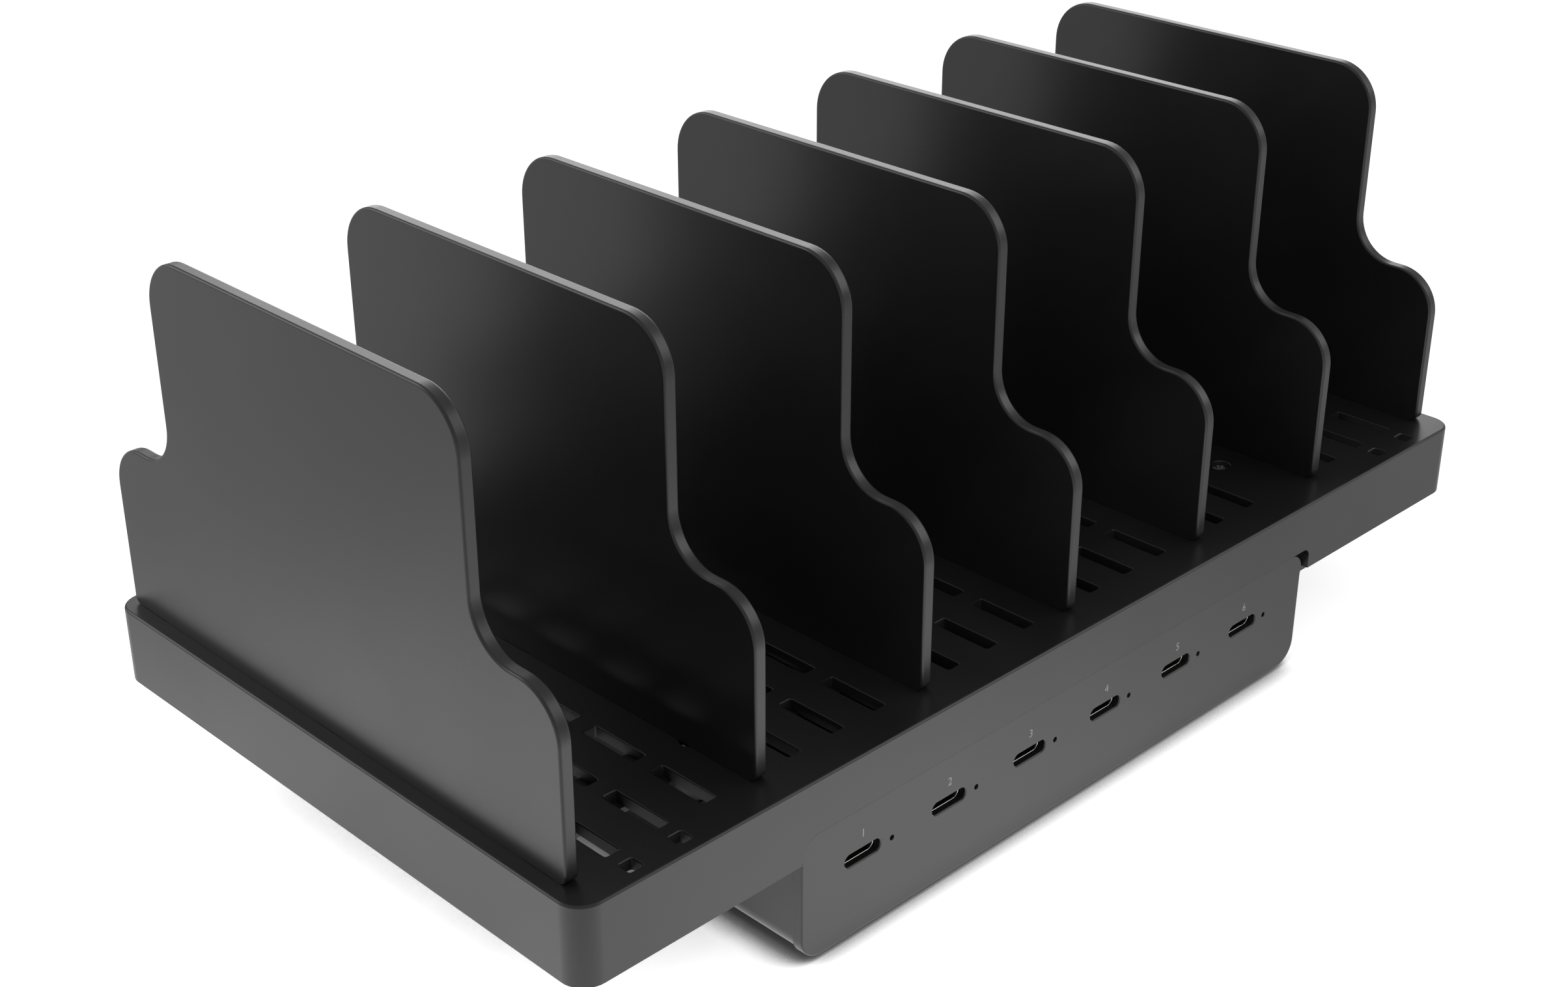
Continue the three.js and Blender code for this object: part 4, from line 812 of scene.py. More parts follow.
def sintered(name, rgb):
    """Sintered ferrite: a dull, pitted dark grey."""
    look = Look(bpy.data.materials.new(name))
    pit = look.noise(1800.0, 5.0)
    return look.surface(
        {
            "Base Color": look.blend(pit, shade(rgb, 0.7), shade(rgb, 1.5)),
            "Roughness": 0.6 + pit * 0.25,
            "Normal": look.bump(pit, 0.3, 0.05 * MM),
        }
    )


def wound_tape(name, rgb):
    """Film tape wound in level turns, with a lap line at each turn."""
    look = Look(bpy.data.materials.new(name))
    tape_width = 3.2 * MM
    turn = (look.axis(1) / tape_width).fraction()
    lap = turn < 0.08
    crease = look.noise(300.0, 3.0)
    return look.surface(
        {
            "Base Color": look.blend(lap * 0.5 + crease * 0.2, rgb, shade(rgb, 0.45)),
            "Roughness": 0.25 + crease * 0.2,
            "Normal": look.bump(turn, 0.3, 0.04 * MM),
        }
    )


def white_floor(name, stage):
    """Matt white card with a faint tooth, darker with distance from a middle: a painted pool of light that
    only reflections show.

    The share of the painted falloff grows smoothly with the distance from the pool's middle. The floor glows
    where it is mirrored, most in the pool, except in a painted shadow below the camera, and it glows towards
    the camera.
    Both glows fade where the object closes the floor in, and sooner behind the object's front than before it:
    a painted shadow of the object. Beside the object the colour also darkens to the contact colour, a painted
    contact shadow. So the picture stays white to its edges and keeps the object's shadow.
    """
    look = Look(bpy.data.materials.new(name))
    tooth = look.noise(700.0, 3.0)
    seen, mirrored, shone_through = (
        look.node("ShaderNodeLightPath", output=ray)
        for ray in ("Is Camera Ray", "Is Glossy Ray", "Is Transmission Ray")
    )
    # Painted pool of light: the floor's colour darkens, and its mirrored glow weakens, with distance from the
    # middle.
    surround = look.fade(stage.card_middle, stage.card_near, stage.card_far)
    # Painted shadow of the camera: the mirrored glow is taken away below the camera.
    clear_of_camera_shadow = look.fade(stage.shade_middle, stage.shade_near, stage.shade_far)
    card = look.blend(tooth, shade(stage.floor, 0.985), stage.floor)
    glow = (stage.card_glow + (stage.surround_glow - stage.card_glow) * surround) * clear_of_camera_shadow
    free = look.free(stage.shadow_reach) - stage.shadow_closed
    behind = ((look.axis(1) - stage.shadow_front) / stage.shadow_depth).clamped()
    lit_seen, lit_mirrored = (
        ((free - behind * deepening) / stage.shadow_spread).clamped()
        for deepening in (stage.shadow_spread, stage.mirror_deepening)
    )
    # Painted contact shadow: beside the object the floor's colour darkens to the contact colour and its glow
    # towards the camera fades.
    clear = ((look.free(stage.contact_reach) - stage.contact_closed) / stage.contact_spread).clamped()
    reflected = (mirrored + shone_through).clamped() * lit_mirrored * glow
    light = reflected + seen * lit_seen * clear * stage.seen_glow
    return look.surface(
        {
            "Base Color": look.blend(clear, stage.contact, look.blend(surround, card, stage.surround)),
            "Roughness": 0.9,
            "Specular IOR Level": 0.0,
            "Emission Color": look.node("ShaderNodeCombineColor", {}, {0: light, 1: light, 2: light}),
            "Emission Strength": 1.0,
        }
    )


def tab_places(sizes, low, high):
    """Middles of a divider's tabs along Y."""
    inset = sizes.tab_inset + sizes.tab_length / 2
    return np.linspace(low[1] + inset, high[1] - inset, sizes.tabs)


def divider_outline(sizes, low, high, deck_top):
    """Outline of a divider in Y and Z: tabs, foot corners, shoulders, hollow necks and upper corners."""
    front, back = low[1], high[1]
    step = sizes.shoulder_radius + sizes.shoulder_flat + sizes.neck_radius
    shoulder = deck_top + sizes.shoulder_height
    root, tip, half = sizes.tab_root, sizes.tab_tip, sizes.tab_length / 2
    foot, outer, hollow, top = sizes.foot_radius, sizes.shoulder_radius, sizes.neck_radius, sizes.top_radius
    arcs = []
    for place in tab_places(sizes, low, high):
        arcs += [
            (place - half - root, deck_top - root, root, 90, 0),
            (place - half + tip, low[2] + tip, tip, 180, 270),
            (place + half - tip, low[2] + tip, tip, 270, 360),
            (place + half + root, deck_top - root, root, 180, 90),
        ]
    arcs += [
        (back - foot, deck_top + foot, foot, -90, 0),
        (back - outer, shoulder - outer, outer, 0, 90),
        (back - step + hollow, shoulder + hollow, hollow, 270, 180),
        (back - step - top, high[2] - top, top, 0, 90),
        (front + step + top, high[2] - top, top, 90, 180),
        (front + step - hollow, shoulder + hollow, hollow, 0, -90),
        (front + outer, shoulder - outer, outer, 90, 180),
        (front + foot, deck_top + foot, foot, 180, 270),
    ]
    return closed_chain(arcs, 14)


def deck_path(settings, low, high):
    """The deck's outline from above, and how far its lower edge rises at each point for the apron's cut-out.

    The rise is nothing outside the cut-out, follows a quarter circle at both its ends and is level between.
    """
    sizes = settings.deck
    points, normals = rectangle(low[0], high[0], low[1], high[1], sizes.corner, sizes.corner, 10)
    fascia_low, fascia_high = node_box("front_fascia")
    left, right = fascia_low[0], fascia_high[0] + sizes.cutout_gap
    first, last = settings.unit.upper_radius, sizes.cutout_radius
    rise = fascia_high[2] - low[2]
    slant = 0.01 * MM
    turn = np.radians(np.linspace(0.0, 90.0, 13))
    back = turn[::-1]
    across = [
        [left - slant],
        left + first * (1 - np.cos(turn)),
        right - last * (1 - np.cos(back)),
        [right + slant],
    ]
    rises = [[0.0], rise - first * (1 - np.sin(turn)), rise - last * (1 - np.sin(back)), [0.0]]
    across, rises = np.concatenate(across), np.concatenate(rises)
    front = np.stack([across, np.full_like(across, low[1])], axis=1)
    facing = np.tile([0.0, -1.0], (len(across), 1))
    path = np.concatenate([points, front]), np.concatenate([normals, facing])
    return path, np.concatenate([np.zeros(len(points)), rises])


def rim_profile(sizes, low, high, under):
    """Profile of the deck's rim from its underside to its top, and which points follow the cut-out."""
    fillet, lower, edge = sizes.inner_edge, sizes.lower_edge, sizes.edge
    arcs = [
        (-sizes.wall - fillet, under - fillet, fillet, 90, 0),
        (-sizes.wall + lower, low[2] + lower, lower, 180, 270),
        (-lower, low[2] + lower, lower, 270, 360),
        (-edge, high[2] - edge, edge, 0, 90),
    ]
    return arc_chain(arcs, 6), np.repeat([0.0, 1.0, 1.0, 0.0], 7)


def sleeve_profile(sizes, under, bottom, top):
    """Profile of a tab slot with the sleeve below it, from the deck's underside to its top."""
    fillet, edge = sizes.inner_edge, sizes.tab_edge
    arcs = [
        (-sizes.sleeve - fillet, under - fillet, fillet, 90, 0),
        (-sizes.sleeve + fillet, bottom + fillet, fillet, 180, 270),
        (-fillet, bottom + fillet, fillet, 270, 360),
        (-edge, top - edge, edge, 0, 90),
    ]
    return arc_chain(arcs, 4)


def seat_profile(sizes, under, bottom, top):
    """Profile of a screw seat with its bore and the boss below it, from the deck's underside to its top."""
    fillet, edge = sizes.inner_edge, sizes.hole_edge
    boss = sizes.seat_radius - sizes.boss_radius
    bore = sizes.seat_radius - sizes.bore_radius
    seat = top - sizes.seat_depth
    arcs = [
        (boss - fillet, under - fillet, fillet, 90, 0),
        (boss + fillet, bottom + fillet, fillet, 180, 270),
        (bore - fillet, bottom + fillet, fillet, 270, 360),
        (bore - fillet, seat - fillet, fillet, 0, 90),
        (fillet, seat + fillet, fillet, 270, 180),
        (-edge, top - edge, edge, 0, 90),
    ]
    return arc_chain(arcs, 4)


def slot_outline(place, width, depth, corner):
    """A straight slot seen from above, round its middle."""
    x, y = place
    return rectangle(x - width / 2, x + width / 2, y - depth / 2, y + depth / 2, corner, corner, 4)


def vent_places(sizes, low, high):
    """Middles of the vents, and of the short vents in front of the end bays.

    Each bay between two dividers has three columns. A vent that would come too near a screw seat is left out.
    """
    dividers = np.array([middle(name)[0] for name in DIVIDERS])
    bays = (dividers[:-1] + dividers[1:]) / 2
    columns = np.array([-1.0, 0.0, 1.0]) * sizes.vent_pitch
    first = low[1] + sizes.vent_margin + sizes.vent_length / 2
    rows = np.arange(first, high[1] - sizes.vent_length / 2, sizes.vent_length + sizes.vent_row_gap)
    across, along = np.meshgrid(bays[:, None] + columns, rows, indexing="ij")
    places = np.stack([across.ravel(), along.ravel()], axis=1)
    seats = np.array([middle(f"deck_screw_{which}")[:2] for which in FOUR_CORNERS])
    apart = np.abs(places[:, None] - seats) - np.array([sizes.vent_width, sizes.vent_length]) / 2
    near = np.linalg.norm(np.maximum(apart, 0.0), axis=2) < sizes.seat_radius + sizes.seat_web
    front = low[1] + sizes.wall + sizes.short_vent_margin + sizes.short_vent / 2
    outer = [bays[0] - columns[2], bays[0], bays[-1], bays[-1] + columns[2]]
    return places[~near.any(axis=1)], np.stack([outer, np.full(4, front)], axis=1)


def deck_holes(settings, low, high, under):
    """Outlines and edge profiles of all holes in the deck."""
    sizes = settings.deck
    top = high[2]
    plain = plate_edge(under, top, sizes.inner_edge, sizes.hole_edge, 4)
    corner = sizes.hole_corner
    holes = []
    for places, depth in zip(vent_places(sizes, low, high), (sizes.vent_length, sizes.short_vent)):
        holes += [(slot_outline(place, sizes.vent_width, depth, corner), plain) for place in places]
    for name in DIVIDERS:
        box_low, box_high = node_box(name)
        width = box_high[0] - box_low[0] + 2 * sizes.tab_clearance
        depth = settings.divider.tab_length + 2 * sizes.tab_clearance
        edge = sleeve_profile(sizes, under, box_low[2], top)
        if name in (DIVIDERS[0], DIVIDERS[-1]):
            edge = plate_edge(under, top, sizes.inner_edge, sizes.tab_edge, 4)
        for y in tab_places(settings.divider, box_low, box_high):
            holes.append((slot_outline(((box_low[0] + box_high[0]) / 2, y), width, depth, corner), edge))
    boss_end = node_box("top_cover")[1][2]
    for which in FOUR_CORNERS:
        x, y, _ = middle(f"deck_screw_{which}")
        holes.append((circle(x, y, sizes.seat_radius, 40), seat_profile(sizes, under, boss_end, top)))
    return holes


def case_radius(sizes):
    """Radius of the case's round lower edges: the fascia's radius less the step from fascia to case."""
    return sizes.lower_radius - (node_box("lower_case")[0][0] - node_box("front_fascia")[0][0])


def case_section(sizes, low, high):
    """Section of the case's right side in X and Z: round lower edge, wall with a soft rim, fillet."""
    wall, rim, outer = sizes.case_wall, HIDDEN_FILLET, case_radius(sizes)
    inner = outer - wall
    arcs = [
        (high[0] - outer, low[2] + outer, outer, -90, 0),
        (high[0] - rim, high[2] - rim, rim, 0, 90),
        (high[0] - wall + rim, high[2] - rim, rim, 90, 180),
        (high[0] - wall - inner, low[2] + wall + inner, inner, 0, -90),
    ]
    return arc_chain(arcs, 10)


def foot_recess_profile(sizes, bottom):
    """Profile of a foot's recess: a quarter round and a straight wall, up to a sharp upper corner."""
    steps = 2
    points, normals = plate_edge(bottom, bottom + sizes.recess, FINE_ROUND, FINE_ROUND, steps)
    return points[: steps + 2], normals[: steps + 2]


def screw_hole_profile(sizes, radius, bottom, floor):
    """Profile of a case screw's stepped hole, from the case's underside to its floor."""
    fillet, bore = HIDDEN_FILLET, radius - sizes.screw_bore
    seat = bottom + sizes.screw_seat
    arcs = [
        (-fillet, bottom + fillet, fillet, -90, 0),
        (fillet, seat - fillet, fillet, 180, 90),
        (bore - fillet, seat + fillet, fillet, -90, 0),
        (bore - fillet, floor - fillet, fillet, 0, 90),
    ]
    return arc_chain(arcs, 3)


def case_trough(sizes):
    """The lower case: a trough with recesses for its feet and stepped holes for its screws.

    One side is a section in X and Z carried from front to back, and the other side is its mirror image.
    """
    low, high = node_box("lower_case")
    bottom, floor = low[2], low[2] + sizes.case_wall
    section, facing = case_section(sizes, low, high)
    shell = Shell()
    sides = []
    for sign, shift in ((1.0, 0.0), (-1.0, low[0] + high[0])):
        x = np.tile(section[:, 0] * sign + shift, (2, 1))
        y = np.repeat([[low[1]], [high[1]]], len(section), axis=1)
        z = np.tile(section[:, 1], (2, 1))
        normals = np.stack([facing[:, 0] * sign, np.zeros(len(facing)), facing[:, 1]], axis=1)
        side = shell.add_points(np.stack([x, y, z], axis=-1), np.tile(normals, (2, 1, 1)))
        shell.add_grid(side, round_path=False)
        sides.append(side)
    right, left = sides
    bottoms = [np.array([right[0, 0], right[1, 0], left[1, 0], left[0, 0]])]
    floors = [np.array([right[0, -1], right[1, -1], left[1, -1], left[0, -1]])]
    for which in FOUR_CORNERS:
        x, y, foot = round_place(f"rubber_foot_{which}")
        mouth = circle(x, y, foot + sizes.recess_play, 40)
        ring = shell.carry(hole(mouth), foot_recess_profile(sizes, bottom))
        bottoms.append(ring[:, 0])
        shell.fill([ring[:, -1]], DOWN)
    for which in FOUR_CORNERS:
        x, y, head = round_place(f"case_screw_{which}")
        radius = head + sizes.screw_play
        ring = shell.carry(hole(circle(x, y, radius, 32)), screw_hole_profile(sizes, radius, bottom, floor))
        bottoms.append(ring[:, 0])
        floors.append(ring[:, -1])
    shell.fill(bottoms, DOWN)
    shell.fill(floors, UP)
    for end, normal in ((0, (0, -1, 0)), (1, (0, 1, 0))):
        shell.fill([np.concatenate([right[end], left[end, ::-1]])], normal, columns=(0, 2))
    return shell


class STATION_OT_dividers(bpy.types.Operator):
    """Makes the seven stepped divider plates"""

    bl_idname = "station.dividers"
    bl_label = "Make dividers"

    def execute(self, context):
        settings = context.scene.station
        sizes, finish = settings.divider, settings.finish
        material = moulded_plastic("divider_finish", finish.divider, finish.divider_gloss, DIVIDER_GRAIN)
        deck_top = node_box("deck")[1][2]
        for name in DIVIDERS:
            low, high = node_box(name)
            shell = Shell()
            edge = plate_edge(low[0], high[0], sizes.edge, sizes.edge, 6)
            outline = divider_outline(sizes, low, high, deck_top)
            reach = np.clip((outline[0][:, 1] - deck_top) / sizes.foot_radius, sizes.foot_edge, 1.0)
            shell.plate(outline, [], edge, reach)
            shell.stand_in(name, f"{name}_plate", FROM_RIGHT, material, "divider_plastic", name)
        return {"FINISHED"}


class STATION_OT_deck(bpy.types.Operator):
    """Makes the deck with its apron, vents, tab slots and screw seats"""

    bl_idname = "station.deck"
    bl_label = "Make deck"

    def execute(self, context):
        settings = context.scene.station
        sizes, finish = settings.deck, settings.finish
        low, high = node_box("deck")
        under = high[2] - sizes.plate
        margin = np.array([sizes.wall, sizes.wall, sizes.hole_edge])
        inside = low + margin, high - margin
        material = moulded_plastic("deck_finish", finish.housing, finish.deck_gloss, HOUSING_GRAIN, inside)
        path, lift = deck_path(settings, low, high)
        profile, share = rim_profile(sizes, low, high, under)
        shell = Shell()
        shell.plate(path, deck_holes(settings, low, high, under), profile, lift=lift, lift_share=share)
        # A dark sheet behind the cut-out's open width hides the floor under the deck: it stands in for the
        # shade seen in that opening.
        left, front = node_box("front_fascia")[1][0] + sizes.rib_gap, low[1] + sizes.wall
        right, back = left + sizes.rib_length, front + sizes.rib_thickness
        shade_screen = rectangle(left, right, front, back, HIDDEN_FILLET, HIDDEN_FILLET, 3)
        shell.plate(shade_screen, [], plate_edge(low[2] - sizes.rib_drop, under, HIDDEN_ROUND, HIDDEN_ROUND, 2))
        shell.stand_in("deck", "deck_cap", FROM_ABOVE, material, "charcoal_plastic")
        return {"FINISHED"}


class STATION_OT_unit(bpy.types.Operator):
    """Makes the charger unit's fascia, lower case and rear panel"""

    bl_idname = "station.unit"
    bl_label = "Make charger unit"

    def execute(self, context):
        settings = context.scene.station
        sizes, finish = settings.unit, settings.finish
        material = moulded_plastic("unit_finish", finish.housing, finish.housing_gloss, HOUSING_GRAIN)
        self.fascia(settings, material)
        case_material = moulded_plastic("case_finish", finish.housing, finish.case_gloss, HOUSING_GRAIN)
        trough = case_trough(sizes)
        trough.stand_in("lower_case", "case_trough", FROM_ABOVE, case_material, "charcoal_plastic")
        self.rear_panel(sizes, material)
        return {"FINISHED"}

    def fascia(self, settings, material):
        """The fascia: an edge profile carried round its outline, and lips carried round its openings."""
        sizes = settings.unit
        low, high = node_box("front_fascia")
        face, back = -low[1], -low[1] - settings.deck.wall
        outline = rectangle(low[0], high[0], low[2], high[2], sizes.lower_radius, sizes.upper_radius, 12)
        apron = node_box("deck")[0][2]
        outline = split_at(outline, apron - sizes.edge)
        reach = np.where(outline[0][:, 1] > apron, sizes.seam_edge, 1.0)
        edge = plate_edge(back, face, HIDDEN_ROUND, sizes.edge, 5)
        lip = self.port_edge(sizes, back, face)
        pin_lip = plate_edge(back, face, FINE_ROUND, HIDDEN_ROUND, 3)
        across, up = sizes.port_width / 2, sizes.port_height / 2
        holes = []
        for which in SOCKETS:
            x, _, z = middle(f"usb_c_shell_{which}")
            holes.append((rectangle(x - across, x + across, z - up, z + up, up, up, 12), lip))
            x, _, z = middle(f"light_pipe_{which}")
            holes.append((circle(x, z, sizes.light_hole / 2, 24), pin_lip))
        shell = Shell()
        shell.plate(outline, holes, edge, reach)
        shell.stand_in("front_fascia", "fascia_plate", FROM_FRONT, material, "charcoal_plastic")

    def port_edge(self, sizes, back, face):
        """Profile of a socket opening, from the fascia's back: pocket wall, ledge, slot and front lip."""
        soft, lip = FINE_ROUND, sizes.port_lip
        low, high = node_box("usb_c_shell_1")
        step = (sizes.port_height - (high[2] - low[2])) / 2 - sizes.port_room
        ledge = face - sizes.port_web
        arcs = [
            (step - soft, back + soft, soft, -90, 0),
            (step + soft, ledge - soft, soft, 180, 90),
            (-soft, ledge + soft, soft, -90, 0),
            (-lip, face - lip, lip, 0, 90),
        ]
        return arc_chain(arcs, 5)

    def rear_panel(self, sizes, material):
        """The rear panel: edge profiles carried round its outline and round the windows of its two parts."""
        low, high = node_box("rear_panel")
        outline = rectangle(low[0], high[0], low[2], high[2], case_radius(sizes), sizes.panel_corner, 10)
        outside, inside = -high[1], -node_box("lower_case")[1][1]
        edge = plate_edge(outside, inside, sizes.panel_edge, sizes.panel_edge, 4)
        window_edge = plate_edge(outside, inside, HIDDEN_ROUND, HIDDEN_ROUND, 2)
        inset, corner = sizes.flange - sizes.window_play, sizes.window_corner
        holes = []
        for name in ("inlet_body", "switch_frame"):
            (left, _, bottom), (right, _, top) = node_box(name)
            sides = left + inset, right - inset, bottom + inset, top - inset
            holes.append((rectangle(*sides, corner, corner, 5), window_edge))
        shell = Shell()
        shell.plate(outline, holes, edge)
        shell.stand_in("rear_panel", "back_panel", FROM_FRONT, material, "charcoal_plastic")


class STATION_OT_sockets(bpy.types.Operator):
    """Makes the shells, tongues and light pipes of the six sockets"""

    bl_idname = "station.sockets"
    bl_label = "Make sockets"

    def execute(self, context):
        settings = context.scene.station
        sizes, finish = settings.unit, settings.finish
        plating = drawn_metal("socket_finish", finish.plating, finish.plating_gloss, (400.0, 9000.0, 400.0))
        tongue = tongue_plastic("tongue_finish", finish.black, finish.copper)
        pipe = milky_plastic("light_pipe_finish", finish.lens)
        for which in SOCKETS:
            self.shell(sizes, which, plating)
            self.tongue(sizes, which, tongue)
            self.light_pipe(sizes, which, pipe)
        return {"FINISHED"}

    def shell(self, sizes, which, material):
        """A shell: the closed section of its wall carried round the socket's outline."""
        name = f"usb_c_shell_{which}"
        low, high = node_box(name)
        radius = (high[2] - low[2]) / 2
        outline = rectangle(low[0], high[0], low[2], high[2], radius, radius, 12)
        wall, lip = sizes.shell_wall, sizes.shell_wall * sizes.shell_lip
        back, face = -high[1], -low[1]
        arcs = [
            (-wall + lip, back + lip, lip, 180, 270),
            (-lip, back + lip, lip, 270, 360),
            (-lip, face - lip, lip, 0, 90),
            (-wall + lip, face - lip, lip, 90, 180),
        ]
        made = Shell()
        made.carry(outline, arc_chain(arcs, 4), round_profile=True)
        made.stand_in(name, f"socket_shell_{which}", FROM_FRONT, material, "socket_plating")

    def tongue(self, sizes, which, material):
        """A tongue: a thin blade with round ends on a block that fills the back of the shell."""
        name = f"usb_c_tongue_{which}"
        low, high = node_box(name)
        x, _, z = (low + high) / 2
        face, back = -low[1], -high[1]
        half, thin, soft = sizes.tongue_width / 2, sizes.tongue_thickness / 2, sizes.tongue_edge
        root = back + sizes.tongue_root
        made = Shell()
        blade = rectangle(x - half, x + half, z - thin, z + thin, 2 * soft, 2 * soft, 4)
        made.plate(blade, [], plate_edge(root, face, soft, soft, 3))
        blade_points = len(made.points)
        radius = (high[2] - low[2]) / 2
        block = rectangle(low[0], high[0], low[2], high[2], radius, radius, 8)
        made.plate(block, [], plate_edge(back, root, soft, soft, 3))
        attributes = {
            "across": made.points[:, 0] - x,
            "depth": face - made.points[:, 2],
            "blade": np.arange(len(made.points)) < blade_points,
        }
        made.stand_in(
            name, f"socket_tongue_{which}", FROM_FRONT, material, "tongue_plastic", attributes=attributes
        )

    def light_pipe(self, sizes, which, material):
        """A light pipe: a round rod with a domed front on a square foot."""
        name = f"light_pipe_{which}"
        low, high = node_box(name)
        x, _, z = (low + high) / 2
        face, back = -low[1], -high[1]
        foot = (high[2] - low[2]) / 2
        foot_end = back + 2 * foot
        made = Shell()
        rod_edge = plate_edge(foot_end, face, END_ROUND, sizes.pipe_dome, 5)
        made.plate(circle(x, z, sizes.pipe_radius, 20), [], rod_edge)
        square = rectangle(x - foot, x + foot, z - foot, z + foot, HIDDEN_FILLET, HIDDEN_FILLET, 3)
        made.plate(square, [], plate_edge(back, foot_end, HIDDEN_ROUND, HIDDEN_ROUND, 2))
        made.stand_in(name, f"indicator_{which}", FROM_FRONT, material, "clear_plastic")


class STATION_OT_numerals(bpy.types.Operator):
    """Prints a plain numeral above each socket"""

    bl_idname = "station.numerals"
    bl_label = "Print numerals"

    def execute(self, context):
        settings = context.scene.station
        sizes = settings.unit
        material = printed_ink("ink_finish", settings.finish.ink)
        front = node_box("front_fascia")[0][1]
        for which in SOCKETS:
            x, _, z = middle(f"usb_c_shell_{which}")
            curve = bpy.data.curves.new(f"numeral_curve_{which}", "FONT")
            curve.body = str(which)
            curve.extrude = 0.5
            writer = bpy.data.objects.new(f"numeral_writer_{which}", curve)
            context.scene.collection.objects.link(writer)
            context.view_layer.update()
            mesh = bpy.data.meshes.new_from_object(writer.evaluated_get(context.evaluated_depsgraph_get()))
            bpy.data.objects.remove(writer)
            bpy.data.curves.remove(curve)
            flat = np.empty(len(mesh.vertices) * 3, np.float32)
            mesh.vertices.foreach_get("co", flat)
            flat = flat.reshape(-1, 3).astype(float)
            low, high = flat.min(axis=0), flat.max(axis=0)
            flat = (flat - (low + high) / 2) * (sizes.numeral_height / (high[1] - low[1]))
            depth = np.where(flat[:, 2] > 0, -sizes.numeral_ink, sizes.numeral_ink)
            placed = np.stack([flat[:, 0] + x, front + depth, flat[:, 1] + z + sizes.numeral_rise], axis=1)
            mesh.vertices.foreach_set("co", placed.astype(np.float32).ravel())
            mesh.update()
            mesh.materials.clear()
            piece = finished(f"numeral_{which}", mesh, material)
            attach(piece, "station")
        return {"FINISHED"}


class STATION_OT_feet(bpy.types.Operator):
    """Makes the four round rubber feet"""

    bl_idname = "station.feet"
    bl_label = "Make feet"

    def execute(self, context):
        settings = context.scene.station
        material = foot_rubber("rubber_finish", settings.finish.rubber)
        for which in FOUR_CORNERS:
            name = f"rubber_foot_{which}"
            low, high = node_box(name)
            edge = plate_edge(low[2], high[2], settings.unit.foot_edge, HIDDEN_ROUND, 5)
            shell = Shell()
            shell.plate(circle(*round_place(name), 48), [], edge)
            shell.stand_in(name, f"foot_pad_{which}", FROM_ABOVE, material, "rubber")
        return {"FINISHED"}


